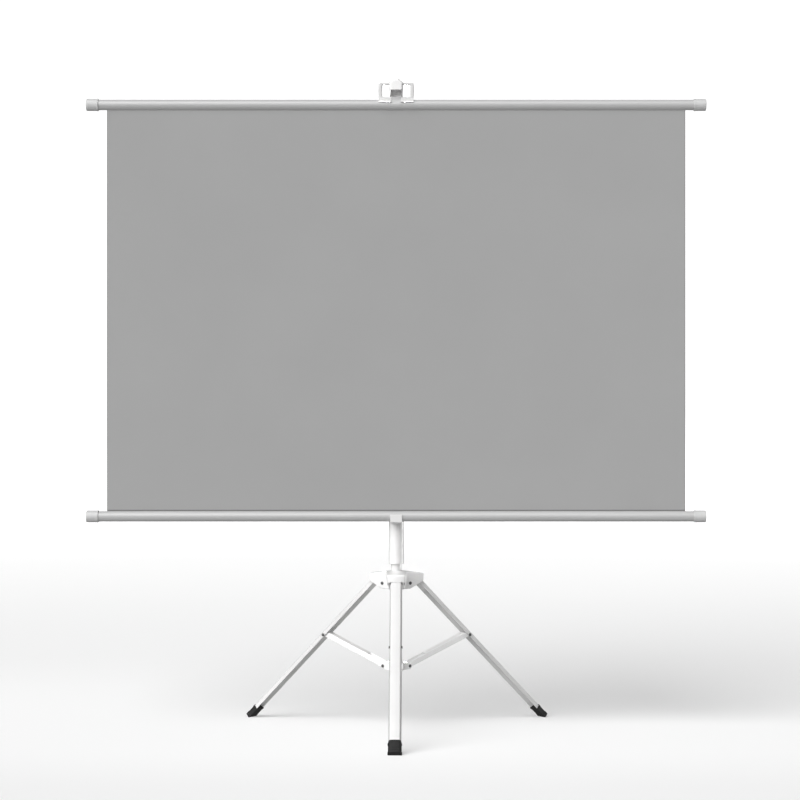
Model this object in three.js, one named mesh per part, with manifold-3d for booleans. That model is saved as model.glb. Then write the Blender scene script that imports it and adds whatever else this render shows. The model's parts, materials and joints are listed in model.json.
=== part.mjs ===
// Tripod projection screen. A flat grey sheet hangs between two capped tubes. The top tube hangs by a
// bail from the hook of a telescopic mast, the bottom tube lies in a hook on a sleeve of the mast, and
// the mast stands on a hub with three folding channel legs, each with a brace down to a centre collar.
// Millimetres, +Z up, the viewer stands on the -Y side. The origin is the middle of the footprint.
import * as THREE from "three";
import { mergeVertices } from "three/addons/utils/BufferGeometryUtils.js";
import Module from "manifold-3d";

const wasm = await Module();
wasm.setup();

// Fits
const GAP = 0.3; // room between two pieces that touch
const ROUND = 20; // sides of a round tube
const SMALL_ROUND = 10; // sides of a pin or a screw
const CORNER_STEPS = 5; // steps of a leg's rounded corner
const BEND_STEPS = 3; // fineness of the hook's bends
const PAST = 10; // how far a cut runs past the face that it opens
const OVERLAP = 1; // how far two joined bodies run into each other

// Legs
const LEG_TILT = THREE.MathUtils.degToRad(46); // from upright, legs spread
const LEG_REACH = 467; // hub pin to the toe, along the leg
const LEG_WIDTH = 26;
const LEG_DEPTH = 10.5;
const LEG_STRAIGHT = 1; // upright foot of each side wall, before it leans inward
const LEG_TAPER = 2.8; // back narrower than the open edge, at each side
const LEG_ROUND = 3.5; // corners of the back
const LEG_WALL = 1.4;
const LEG_TOP = 14; // hub pin to the upper end of the channel, along the leg
const LEG_OFFSET = 20; // hub pin to the line of the brace pin, square to the leg
const PIN_DEPTH = 3.2; // brace pin above the open edge of the channel
const FOOT_WALL = 1.6;
const FOOT_BACK = 2.2; // rubber behind the open edge of the channel
const FOOT_LENGTH = 35;
const TOE_SOLID = 12; // solid rubber below the end of the channel
const TOE_LIFT = 5.3; // upper edge of the toe above the floor

// Hub
const HUB_PIN_REACH = 25; // mast axis to the leg pins
const LOBE_REACH = 60;
const CHEEK = 3;
const SLOT_PLAY = 0.5; // between a leg and a cheek
const LOBE_DROP = 12.5; // below the leg pins
const HOOD_RISE = 27; // above the leg pins, at the mast
const HOOD_FALL = 6; // from the mast to the end of a lobe
const HOOD_ROOM = 15.5; // underside of the hood above the leg pins
const LIP_ROOM = 1.5; // between the back of a leg and the lip of the hood
const LOBE_ROUND = 5; // upper corner of a lobe
const HUB_WALL = 12; // around the mast
const LEG_PIN_RADIUS = 3;
const LEG_PIN_HEAD = 4.2;
const LEG_PIN_RISE = 1.3; // height of a pin's head
const EYE_RADIUS = 9;
const NECK_DROP = 8; // hub pin to the square end of the knuckle's neck, along the leg
const NECK_LAP = 3; // neck past the open edge of the channel, to either side
const KNUCKLE_INSERT = 30; // tongue of the knuckle in the channel

// Braces and collar
const BRACE_LENGTH = 158.5; // pin to pin
const BRACE_SLOPE = THREE.MathUtils.degToRad(21.8945); // up from the collar, legs spread
const BRACE_WIDTH = 18;
const BRACE_HEIGHT = 11.5;
const BRACE_WALL = 1.2;
const BRACE_EDGE = 3.2; // pin line above the open edge
const FORK_LENGTH = 46; // back of the brace cut away at the collar
const BRACE_PIN_RADIUS = 2.2;
const RIVET_HEAD = 3.4; // radius of a rivet's, stud's or screw's head
const RIVET_RISE = 1; // height of a rivet's or stud's head
const COLLAR_PIN_REACH = 28.5;
const COLLAR_RADIUS = 15;
const COLLAR_HEIGHT = 19;
const TONGUE_RADIUS = 6;

// Mast
const UPPER_RADIUS = 9;
const TUBE_PLAY = 1; // between two telescoping tubes
const MAST_WALL = 1;
const MAST_LENGTH = 541;
const UPPER_INSERT = 70; // upper tube inside the lower tube
const STEM_RADIUS = 6.5;
const STEM_WALL = 1;
const STEM_INSERT = 266; // stem inside the lower tube
const STEM_BELOW = 2; // stem below the collar
const MAST_BELOW = 2.5; // lower tube below the hub
const FLANGE = 3; // rim of the bush and of the stem's plug
const PLUG_RIM = 1; // plug wider than the stem
const PLUG_LENGTH = 10;
const BUSH_LENGTH = 40;
const SLEEVE_WALL = 4.5;
const SLEEVE_LENGTH = 150;
const SLEEVE_RISE = 14; // hub to the sleeve
const SLEEVE_STUD_RISE = 20; // foot of the sleeve to its knob
const CLAMP_WALL = 4;
const CLAMP_BELOW = 22;
const CLAMP_ABOVE = 16;
const STUD_RADIUS = 3;
const KNOB_RADIUS = 12.5;
const KNOB_LENGTH = 14;
const KNOB_LOBES = 6;
const KNOB_FLUTE = 1.75; // depth between two lobes
const KNOB_FACE = 4; // solid end of a knob

// Screen
const SHEET_WIDTH = 1220;
const SHEET_THICKNESS = 0.5;
const SCREEN_DROP = 868; // between the axes of the two tubes
const TUBE_RISE = 102; // lower end of the sleeve to the axis of the bottom tube
const TUBE_RADIUS = 11;
const TUBE_WALL = 1.2;
const TUBE_SLOT = 1.7;
const TUBE_OVERHANG = 40; // tube past the edge of the sheet
const SPLINE_RADIUS = 3.2;
const SPLINE_INSET = 2; // end of a spline inside the edge of the sheet
const CAP_WALL = 1.4;
const CAP_LENGTH = 25.5;
const CAP_END = 3.2;
const CAP_ROUND = 3; // outer edge of a cap's end

// Hooks and bail
const HOOK_WIDTH = 24.8;
const HOOK_THICKNESS = 2.2;
const HOOK_BEND = 1.5; // inner radius of its two bends
const HOOK_PLAY = 0.5;
const HOOK_LIP = 4.4; // top of the lip above the tube's axis
const HOOK_BACK = 44; // top of the back plate above the tube's axis
const HOOK_SCREW_RISES = [22, 35]; // above the tube's axis
const SCREW_RADIUS = 2;
const SCREW_RISE = 1.8; // height of a screw's head
const BAIL_WIDTH = 73.5;
const BAIL_HEIGHT = 35.7;
const BAIL_SIDE = 7.2;
const BAIL_BAR = 4.6;
const BAIL_DEPTH = 5;
const BAIL_CORNER = 4;
const BAIL_SPLAY = 2; // foot bar higher at the sides
const SADDLE_WALL = 1.7; // wings of the bail over the top tube
const SADDLE_EDGE = 7.6; // front edge of the wings above the tube's axis, at their ends
const SADDLE_DIP = 2.6; // the same edge lower toward the clip
const CLIP_WIDTH = 20;
const CLIP_THICKNESS = 0.9;
const CLIP_WRAP = THREE.MathUtils.degToRad(36); // below the tube's axis, at the front and the back
const HEAD_WALL = 4.2;
const HEAD_BELOW = 20; // foot of the head below the axis of the top tube, its rivet halfway
const NOSE_WIDTH = 28.5;
const NOSE_DEPTH = 6;
const NOSE_RISE = 8; // nose above the bail
const NOSE_FLAT = 10; // width of the top of the nose
const NOSE_SHOULDER = 3.5; // rise of the nose's shoulders above the bail
const ARM_HEIGHT = 10.5;
const ARM_WIDTH = 25;
const HEAD_CHEEK = 3; // side walls of the head below its arm
const CHEEK_ROOM = 1.7; // between the cheeks and the foot bar of the bail
const TUBE_ROOM = 10; // upper tube below the underside of the arm

// Directions of the legs about the mast
const legNames = ["front", "right", "left"];
const legTurns = [-Math.PI / 2, Math.PI / 6, (5 * Math.PI) / 6];

// Sizes that follow
const legBack = LEG_OFFSET - PIN_DEPTH; // open edge of the channel, square to the leg from the hub pin
const legCrest = legBack + LEG_DEPTH;
const legEnd = LEG_REACH - TOE_SOLID;
const sinTilt = Math.sin(LEG_TILT);
const cosTilt = Math.cos(LEG_TILT);
const hubPinZ = LEG_REACH * cosTilt - (legCrest + FOOT_WALL) * sinTilt + TOE_LIFT;
const hubTopZ = hubPinZ + HOOD_RISE;
const lobeWidth = LEG_WIDTH + 2 * (SLOT_PLAY + CHEEK);
const bracePinReach = COLLAR_PIN_REACH + BRACE_LENGTH * Math.cos(BRACE_SLOPE);
const braceDown = (bracePinReach - HUB_PIN_REACH - LEG_OFFSET * cosTilt) / sinTilt; // along the leg
const bracePinZ = hubPinZ - braceDown * cosTilt + LEG_OFFSET * sinTilt;
const collarZ = bracePinZ - BRACE_LENGTH * Math.sin(BRACE_SLOPE);
const mastRadius = UPPER_RADIUS + TUBE_PLAY + MAST_WALL;
const mastBottomZ = hubPinZ - LOBE_DROP - MAST_BELOW;
const mastTopZ = mastBottomZ + MAST_LENGTH;
const stemTopZ = mastBottomZ + STEM_INSERT;
const stemBottomZ = collarZ - COLLAR_HEIGHT / 2 - STEM_BELOW;
const sleeveRadius = mastRadius + GAP + SLEEVE_WALL;
const sleeveBottomZ = hubTopZ + SLEEVE_RISE;
const bottomTubeZ = sleeveBottomZ + TUBE_RISE;
const topTubeZ = bottomTubeZ + SCREEN_DROP;
const screenY = -(sleeveRadius + GAP + HOOK_THICKNESS + HOOK_PLAY + TUBE_RADIUS);
const tubeLength = SHEET_WIDTH + 2 * TUBE_OVERHANG;
const splineOffset = TUBE_RADIUS - TUBE_WALL - GAP - SPLINE_RADIUS;
const bailFoot = TUBE_RADIUS + GAP; // above the axis of the top tube
const bailTop = bailFoot + BAIL_HEIGHT;
const armTop = bailTop - BAIL_BAR - GAP;
const headRadius = UPPER_RADIUS + GAP + HEAD_WALL;
const armLow = armTop - ARM_HEIGHT;
const upperTopZ = topTubeZ + armLow - TUBE_ROOM;
const clampRadius = mastRadius + GAP + CLAMP_WALL;

// Finishes
const finish = (color, roughness, metalness) => () =>
  new THREE.MeshStandardMaterial({ color, roughness, metalness });
const whiteMetal = finish(0xf2f2f0, 0.42, 0.1);
const whitePlastic = finish(0xf4f4f2, 0.38, 0);
const greyTube = finish(0xc3c4c5, 0.4, 0.45);
const greyCap = finish(0xb1b2b3, 0.5, 0);
const greySheet = finish(0xa6a6a6, 0.92, 0);
const blackRubber = finish(0x1b1b1c, 0.85, 0);
const blackPlastic = finish(0x242425, 0.5, 0);
const darkSteel = finish(0x4a4a4c, 0.38, 0.8);
const brightSteel = finish(0xb9babc, 0.3, 0.9);
const nylon = finish(0xe2e1dc, 0.6, 0);

// A closed body from a geometry, with its faces turned outward
function body(geometry) {
  geometry.deleteAttribute("normal");
  geometry.deleteAttribute("uv");
  const joined = mergeVertices(geometry, 1e-4);
  const points = Float32Array.from(joined.attributes.position.array);
  const faces = [];
  for (let i = 0; i < joined.index.count; i += 3) {
    const [a, b, c] = [0, 1, 2].map((n) => joined.index.getX(i + n));
    if (a !== b && b !== c && a !== c) faces.push(a, b, c);
  }
  if (volume(points, faces) < 0) faces.reverse();
  const mesh = new wasm.Mesh({ numProp: 3, vertProperties: points, triVerts: Uint32Array.from(faces) });
  return new wasm.Manifold(mesh);
}

function volume(points, faces) {
  const [a, b, c] = [new THREE.Vector3(), new THREE.Vector3(), new THREE.Vector3()];
  let sum = 0;
  for (let i = 0; i < faces.length; i += 3) {
    a.fromArray(points, 3 * faces[i]);
    b.fromArray(points, 3 * faces[i + 1]);
    c.fromArray(points, 3 * faces[i + 2]);
    sum += a.dot(b.cross(c));
  }
  return sum;
}

const join = (...bodies) => bodies.reduce((whole, next) => whole.add(next));
const cut = (whole, ...tools) => tools.reduce((rest, tool) => rest.subtract(tool), whole);

// A named piece
function piece(name, solid, material) {
  const { vertProperties, triVerts } = solid.getMesh();
  const geometry = new THREE.BufferGeometry();
  geometry.setAttribute("position", new THREE.BufferAttribute(Float32Array.from(vertProperties), 3));
  geometry.setIndex(Array.from(triVerts));
  geometry.computeVertexNormals();
  const mesh = new THREE.Mesh(geometry, material());
  mesh.name = name;
  return mesh;
}

// Stock forms
const block = (x, y, z) => new THREE.BoxGeometry(x, y, z);
const rodX = (radius, length, sides) => rodY(radius, length, sides).rotateZ(Math.PI / 2);
const rodY = (radius, length, sides = SMALL_ROUND) =>
  new THREE.CylinderGeometry(radius, radius, length, sides);
const rodZ = (radius, length, sides) => rodY(radius, length, sides).rotateX(Math.PI / 2);

// A ring or a disc about Z, from a profile of [radius, height] points
const turned = (profile, sides = ROUND) => {
  const points = [...profile, profile[0]].map(([r, z]) => new THREE.Vector2(r, z));
  return new THREE.LatheGeometry(points, sides).rotateX(Math.PI / 2);
};

const tubeZ = (outer, inner, low, high) =>
  turned([
    [inner, low],
    [outer, low],
    [outer, high],
    [inner, high],
  ]);

// A shape in the XZ plane with thickness along Y, and a shape in the YZ plane with thickness along X
const extrude = (shape, depth, curveSegments) =>
  new THREE.ExtrudeGeometry(shape, { depth, bevelEnabled: false, curveSegments });
const slabY = (shape, width, curveSegments = 8) =>
  extrude(shape, width, curveSegments).translate(0, 0, -width / 2).rotateX(Math.PI / 2);
const slabX = (shape, width, curveSegments = 8) =>
  slabY(shape, width, curveSegments).rotateZ(Math.PI / 2);
const polygon = (points) => new THREE.Shape(points.map(([x, y]) => new THREE.Vector2(x, y)));

// Filled section of a leg: leaning sides under a back with rounded corners
function legSection(halfWidth, depth, straight) {
  const back = halfWidth - LEG_TAPER;
  const lean = (LEG_ROUND * LEG_TAPER) / (depth - straight);
  const shape = new THREE.Shape();
  shape.moveTo(-halfWidth, 0);
  shape.lineTo(halfWidth, 0);
  shape.lineTo(halfWidth, straight);
  shape.lineTo(back + lean, depth - LEG_ROUND);
  shape.quadraticCurveTo(back, depth, back - LEG_ROUND, depth);
  shape.lineTo(LEG_ROUND - back, depth);
  shape.quadraticCurveTo(-back, depth, -back - lean, depth - LEG_ROUND);
  shape.lineTo(-halfWidth, straight);
  return shape;
}

// A section along the leg: the leg runs down -Z from the hub pin, its back faces +X
const legBar = (shape, top, bottom, back) =>
  extrude(shape, bottom - top, CORNER_STEPS)
    .translate(0, 0, -bottom)
    .rotateZ(-Math.PI / 2)
    .translate(back, 0, 0);

// A rivet along Y with a head at each end
function rivet(radius, grip, headRadius, headHeight) {
  const half = grip / 2;
  const outline = [
    [0, -half - headHeight],
    [0.6 * headRadius, -half - headHeight],
    [headRadius, -half - 0.3 * headHeight],
    [headRadius, -half],
    [radius, -half],
    [radius, half],
    [headRadius, half],
    [headRadius, half + 0.3 * headHeight],
    [0.6 * headRadius, half + headHeight],
    [0, half + headHeight],
  ];
  return turned(outline, SMALL_ROUND).rotateX(-Math.PI / 2);
}

// A screw or stud along Y with its head on the -Y side, the underside of the head at 0
function screw(radius, length, headRadius, headHeight) {
  const outline = [
    [0, -length],
    [radius, -length],
    [radius, 0],
    [headRadius, 0],
    [headRadius, 0.4 * headHeight],
    [0.6 * headRadius, headHeight],
    [0, headHeight],
  ];
  return turned(outline, SMALL_ROUND).rotateX(Math.PI / 2);
}

const assembly = new THREE.Group();

// Hub: three forked lobes under one hood, around the mast
function hub() {
  const lipReach = LOBE_REACH - HUB_PIN_REACH;
  const lipDown = (lipReach - legCrest * cosTilt) / sinTilt;
  const lip = legCrest * sinTilt - lipDown * cosTilt + LIP_ROOM;
  const side = new THREE.Shape();
  side.moveTo(0, -LOBE_DROP);
  side.lineTo(HUB_PIN_REACH, -LOBE_DROP);
  side.absarc(HUB_PIN_REACH, 0, LOBE_DROP, -Math.PI / 2, -Math.PI / 4, false);
  side.lineTo(LOBE_REACH, lip);
  const lobeTop = HOOD_RISE - HOOD_FALL;
  side.lineTo(LOBE_REACH, lobeTop - LOBE_ROUND);
  side.quadraticCurveTo(LOBE_REACH, lobeTop, LOBE_REACH - LOBE_ROUND, lobeTop);
  side.lineTo(mastRadius, HOOD_RISE);
  side.lineTo(0, HOOD_RISE);
  const back = HUB_PIN_REACH - EYE_RADIUS - 2 * GAP;
  const under = LOBE_REACH - (HOOD_ROOM - lip) * Math.tan(LEG_TILT);
  const slot = polygon([
    [back, -2 * LOBE_DROP],
    [2 * LOBE_REACH, -2 * LOBE_DROP],
    [2 * LOBE_REACH, lip],
    [LOBE_REACH, lip],
    [under, HOOD_ROOM],
    [back, HOOD_ROOM],
  ]);
  let whole = body(turned([
    [0, -LOBE_DROP],
    [mastRadius + HUB_WALL, -LOBE_DROP],
    [mastRadius + HUB_WALL, HOOD_RISE],
    [0, HOOD_RISE],
  ]));
  const tools = [body(rodZ(mastRadius + GAP, 4 * HOOD_RISE, ROUND))];
  for (const turn of legTurns) {
    whole = whole.add(body(slabY(side, lobeWidth).rotateZ(turn)));
    tools.push(body(slabY(slot, LEG_WIDTH + 2 * SLOT_PLAY).rotateZ(turn)));
    const hole = rodY(LEG_PIN_RADIUS + GAP, 2 * lobeWidth);
    tools.push(body(hole.translate(HUB_PIN_REACH, 0, 0).rotateZ(turn)));
  }
  return cut(whole, ...tools);
}

// Leg: channel with leaning sides
function channel() {
  const wall = legSection(LEG_WIDTH / 2, LEG_DEPTH, LEG_STRAIGHT);
  const hollow = legSection(LEG_WIDTH / 2 - LEG_WALL, LEG_DEPTH - LEG_WALL + PAST, LEG_STRAIGHT + PAST);
  const hole = rodY(BRACE_PIN_RADIUS + GAP, 2 * LEG_WIDTH);
  return cut(
    body(legBar(wall, LEG_TOP, legEnd, legBack)),
    body(legBar(hollow, LEG_TOP - PAST, legEnd + PAST, legBack - PAST)),
    body(hole.translate(LEG_OFFSET, 0, -braceDown)),
  );
}

// Knuckle: eye on the hub pin, tongue inside the channel
function knuckle() {
  const width = LEG_WIDTH + 2 * SLOT_PLAY - 2 * GAP;
  const neck = polygon([
    [0, EYE_RADIUS],
    [legBack + NECK_LAP, 0],
    [legCrest - LEG_WALL, -NECK_DROP],
    [legCrest - LEG_WALL, GAP - LEG_TOP],
    [legBack - NECK_LAP, GAP - LEG_TOP],
    [0, -EYE_RADIUS],
  ]);
  const plug = legSection(LEG_WIDTH / 2 - LEG_WALL - GAP, LEG_DEPTH - LEG_WALL - GAP, LEG_STRAIGHT);
  return cut(
    join(
      body(rodY(EYE_RADIUS, width, ROUND)),
      body(slabY(neck, width)),
      body(legBar(plug, LEG_TOP - GAP - OVERLAP, LEG_TOP + KNUCKLE_INSERT, legBack)),
    ),
    body(rodY(LEG_PIN_RADIUS + GAP, 2 * width)),
  );
}

// Foot: rubber cap over the channel's end, cut level with the floor
function foot() {
  const skinDepth = FOOT_BACK + LEG_DEPTH + FOOT_WALL;
  const skin = legSection(LEG_WIDTH / 2 + FOOT_WALL, skinDepth, FOOT_BACK + LEG_STRAIGHT);
  const wall = legSection(LEG_WIDTH / 2 + GAP, LEG_DEPTH + 2 * GAP, LEG_STRAIGHT + GAP);
  const core = legSection(LEG_WIDTH / 2 - LEG_WALL - GAP, LEG_DEPTH - LEG_WALL, LEG_STRAIGHT + GAP);
  const top = LEG_REACH - FOOT_LENGTH;
  const socket = cut(
    body(legBar(wall, top - PAST, legEnd + GAP, legBack - GAP)),
    body(legBar(core, top - 2 * PAST, legEnd + PAST, legBack - GAP)),
  );
  const floor = block(2 * LEG_REACH, 2 * LEG_REACH, LEG_REACH)
    .translate(-HUB_PIN_REACH, 0, -hubPinZ - LEG_REACH / 2)
    .rotateY(LEG_TILT);
  return cut(body(legBar(skin, top, LEG_REACH, legBack - FOOT_BACK)), socket, body(floor));
}

// Brace: channel with its back up, forked at the collar end; the leg pin is the origin
function brace() {
  const top = BRACE_HEIGHT - BRACE_EDGE;
  const side = new THREE.Shape();
  side.moveTo(-BRACE_LENGTH, -BRACE_EDGE);
  side.lineTo(0, -BRACE_EDGE);
  side.absarc(0, 0, BRACE_EDGE, -Math.PI / 2, Math.PI / 4, false);
  side.lineTo(-top, top);
  side.lineTo(-BRACE_LENGTH + top, top);
  side.absarc(-BRACE_LENGTH, 0, BRACE_EDGE, 0.75 * Math.PI, 1.5 * Math.PI, false);
  const inner = BRACE_WIDTH - 2 * BRACE_WALL;
  const hollow = block(2 * BRACE_LENGTH, inner, 2 * BRACE_HEIGHT);
  const fork = block(2 * FORK_LENGTH, inner, 4 * BRACE_HEIGHT);
  return cut(
    body(slabY(side, BRACE_WIDTH)),
    body(hollow.translate(-BRACE_LENGTH / 2, 0, top - BRACE_WALL - BRACE_HEIGHT)),
    body(fork.translate(-BRACE_LENGTH, 0, 0)),
    body(rodY(BRACE_PIN_RADIUS + GAP, 2 * BRACE_WIDTH)),
    body(rodY(BRACE_PIN_RADIUS + GAP, 2 * BRACE_WIDTH).translate(-BRACE_LENGTH, 0, 0)),
  );
}

// Collar: ring on the stem with a tongue for each brace
function collar() {
  const side = new THREE.Shape();
  side.moveTo(0, -COLLAR_HEIGHT / 2);
  side.lineTo(COLLAR_RADIUS, -COLLAR_HEIGHT / 2);
  side.lineTo(COLLAR_PIN_REACH, -TONGUE_RADIUS);
  side.absarc(COLLAR_PIN_REACH, 0, TONGUE_RADIUS, -Math.PI / 2, Math.PI / 2, false);
  side.lineTo(COLLAR_RADIUS, COLLAR_HEIGHT / 2);
  side.lineTo(0, COLLAR_HEIGHT / 2);
  let whole = body(rodZ(COLLAR_RADIUS, COLLAR_HEIGHT, ROUND));
  const tools = [body(rodZ(STEM_RADIUS + GAP, 2 * COLLAR_HEIGHT, ROUND))];
  for (const turn of legTurns) {
    whole = whole.add(body(slabY(side, BRACE_WIDTH - 2 * BRACE_WALL - 2 * GAP).rotateZ(turn)));
    const hole = rodY(BRACE_PIN_RADIUS + GAP, 2 * BRACE_WIDTH);
    tools.push(body(hole.translate(COLLAR_PIN_REACH, 0, 0).rotateZ(turn)));
  }
  return cut(whole, ...tools);
}

// Lobed knob along Y, its face toward the mast at 0, with a blind hole for the stud
function knob() {
  const shape = new THREE.Shape();
  const steps = 8 * KNOB_LOBES;
  for (let i = 0; i < steps; i++) {
    const angle = (i * 2 * Math.PI) / steps;
    const radius = KNOB_RADIUS - (KNOB_FLUTE / 2) * (1 - Math.cos(KNOB_LOBES * angle));
    const point = [radius * Math.cos(angle), radius * Math.sin(angle)];
    if (i === 0) shape.moveTo(...point);
    else shape.lineTo(...point);
  }
  const hole = rodY(STUD_RADIUS + GAP, 2 * (KNOB_LENGTH - KNOB_FACE));
  return cut(body(slabY(shape, KNOB_LENGTH).translate(0, KNOB_LENGTH / 2, 0)), body(hole));
}

// Slotted tube along X, the slot facing up or down
function slottedTube(up) {
  const bore = TUBE_RADIUS - TUBE_WALL;
  const outer = Math.asin(TUBE_SLOT / 2 / TUBE_RADIUS);
  const inner = Math.asin(TUBE_SLOT / 2 / bore);
  const slot = (up * Math.PI) / 2;
  const shape = new THREE.Shape();
  shape.absarc(0, 0, TUBE_RADIUS, slot + outer, slot + 2 * Math.PI - outer, false);
  shape.absarc(0, 0, bore, slot + 2 * Math.PI - inner, slot + inner, true);
  return body(slabX(shape, tubeLength, ROUND));
}

// End cap about X, open toward -X, its closed end at 0
function endCap() {
  const bore = TUBE_RADIUS + GAP;
  const outer = bore + CAP_WALL;
  const outline = [
    [0, 0],
    [0, -CAP_END],
    [bore, -CAP_END],
    [bore, -CAP_LENGTH],
    [outer, -CAP_LENGTH],
  ];
  for (const angle of [0, Math.PI / 6, Math.PI / 3, Math.PI / 2]) {
    outline.push([outer - CAP_ROUND * (1 - Math.cos(angle)), -CAP_ROUND * (1 - Math.sin(angle))]);
  }
  return body(turned(outline).rotateY(Math.PI / 2));
}

// Hook for the bottom tube: back plate on the sleeve, bent under the tube to a lip in front
function lowerHook() {
  const inner = TUBE_RADIUS + HOOK_PLAY;
  const outer = inner + HOOK_THICKNESS;
  const side = new THREE.Shape();
  const bend = inner - HOOK_BEND;
  const crook = HOOK_BEND + HOOK_THICKNESS;
  side.moveTo(outer, HOOK_BACK);
  side.lineTo(inner, HOOK_BACK);
  side.absarc(bend, -bend, HOOK_BEND, 0, -Math.PI / 2, true);
  side.absarc(-bend, -bend, HOOK_BEND, -Math.PI / 2, -Math.PI, true);
  side.lineTo(-inner, HOOK_LIP);
  side.lineTo(-outer, HOOK_LIP);
  side.absarc(-bend, -bend, crook, Math.PI, 1.5 * Math.PI, false);
  side.absarc(bend, -bend, crook, 1.5 * Math.PI, 2 * Math.PI, false);
  const holes = HOOK_SCREW_RISES.map((rise) =>
    body(rodY(SCREW_RADIUS + GAP, 8 * HOOK_THICKNESS).translate(0, outer, rise)),
  );
  return cut(body(slabX(side, HOOK_WIDTH, BEND_STEPS)), ...holes);
}

// Head of the mast: socket on the upper tube, arm through the bail, nose in front of it and cheeks below
function mastHead() {
  const armY = screenY - BAIL_DEPTH / 2 - 2 * GAP;
  const [half, flat] = [NOSE_WIDTH / 2, NOSE_FLAT / 2];
  const shoulder = [(half + flat) / 2, bailTop + NOSE_SHOULDER];
  const nose = new THREE.Shape();
  nose.moveTo(-half, armLow);
  nose.lineTo(half, armLow);
  nose.lineTo(half, bailTop);
  nose.quadraticCurveTo(...shoulder, flat, bailTop + NOSE_RISE);
  nose.lineTo(-flat, bailTop + NOSE_RISE);
  nose.quadraticCurveTo(-shoulder[0], shoulder[1], -half, bailTop);
  const arm = block(ARM_WIDTH, OVERLAP - armY, ARM_HEIGHT);
  const cheekLow = bailFoot + BAIL_BAR + CHEEK_ROOM;
  const cheek = (side) =>
    block(HEAD_CHEEK, NOSE_DEPTH - armY - HEAD_CHEEK, armLow + OVERLAP - cheekLow).translate(
      side * (half - HEAD_CHEEK / 2),
      (armY - NOSE_DEPTH - HEAD_CHEEK) / 2,
      (armLow + OVERLAP + cheekLow) / 2,
    );
  const socketHigh = armTop + HEAD_BELOW;
  return cut(
    join(
      body(rodZ(headRadius, socketHigh, ROUND).translate(0, 0, socketHigh / 2 - HEAD_BELOW)),
      body(arm.translate(0, (armY - OVERLAP) / 2, armTop - ARM_HEIGHT / 2)),
      body(slabY(nose, NOSE_DEPTH).translate(0, armY - NOSE_DEPTH / 2, 0)),
      body(cheek(-1)),
      body(cheek(1)),
    ),
    body(tubeZ(UPPER_RADIUS + GAP, 0, -2 * HEAD_BELOW, upperTopZ - topTubeZ + GAP)),
    body(rodX(SCREW_RADIUS + GAP, 4 * headRadius).translate(0, 0, -HEAD_BELOW / 2)),
  );
}

// Bail: flat ring on the top tube, with two wings that saddle the tube beside the clip
function bail() {
  const half = BAIL_WIDTH / 2;
  const foot = bailFoot + GAP;
  const shape = new THREE.Shape();
  shape.moveTo(-half, foot);
  shape.lineTo(half, foot);
  shape.lineTo(half, bailTop - BAIL_CORNER);
  shape.absarc(half - BAIL_CORNER, bailTop - BAIL_CORNER, BAIL_CORNER, 0, Math.PI / 2, false);
  shape.absarc(-half + BAIL_CORNER, bailTop - BAIL_CORNER, BAIL_CORNER, Math.PI / 2, Math.PI, false);
  const open = half - BAIL_SIDE;
  const window = polygon([
    [-open, bailFoot + BAIL_BAR + BAIL_SPLAY],
    [-CLIP_WIDTH / 2, bailFoot + BAIL_BAR],
    [CLIP_WIDTH / 2, bailFoot + BAIL_BAR],
    [open, bailFoot + BAIL_BAR + BAIL_SPLAY],
    [open, bailTop - BAIL_BAR],
    [-open, bailTop - BAIL_BAR],
  ]);
  const arc = new THREE.Shape();
  arc.absarc(0, 0, bailFoot + SADDLE_WALL, 0, Math.PI, false);
  arc.absarc(0, 0, bailFoot, Math.PI, 0, true);
  const below = new THREE.Shape();
  below.moveTo(-half - OVERLAP, -BAIL_HEIGHT);
  below.lineTo(half + OVERLAP, -BAIL_HEIGHT);
  below.absellipse(0, SADDLE_EDGE, half + OVERLAP, SADDLE_DIP, 2 * Math.PI, Math.PI, true);
  const wingWidth = half - CLIP_WIDTH / 2;
  const wings = [-1, 1].map((side) =>
    body(slabX(arc, wingWidth, ROUND / 2).translate(side * (half - wingWidth / 2), 0, 0)),
  );
  return join(
    cut(body(slabY(shape, BAIL_DEPTH, 4)), body(slabY(window, 2 * BAIL_DEPTH))),
    ...wings.map((wing) => cut(wing, body(slabY(below, BAIL_WIDTH)))),
  );
}

// Clip: saddle over the foot bar of the bail, wrapped around the top tube
function bailClip() {
  const inner = TUBE_RADIUS + GAP;
  const outer = inner + CLIP_THICKNESS;
  const side = new THREE.Shape();
  side.absarc(0, 0, outer, -CLIP_WRAP, Math.PI + CLIP_WRAP, false);
  side.absarc(0, 0, inner, Math.PI + CLIP_WRAP, -CLIP_WRAP, true);
  const barHigh = bailFoot + BAIL_BAR + GAP;
  const saddleHigh = barHigh + CLIP_THICKNESS;
  const barHalf = BAIL_DEPTH / 2 + GAP;
  const saddle = block(CLIP_WIDTH - 2 * GAP, 2 * (barHalf + CLIP_THICKNESS), saddleHigh);
  return cut(
    join(
      body(slabX(side, CLIP_WIDTH - 2 * GAP, ROUND)),
      body(saddle.translate(0, 0, saddleHigh / 2)),
    ),
    body(rodX(inner, 2 * CLIP_WIDTH, ROUND)),
    body(block(2 * CLIP_WIDTH, 2 * barHalf, 2 * barHigh)),
  );
}

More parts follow.
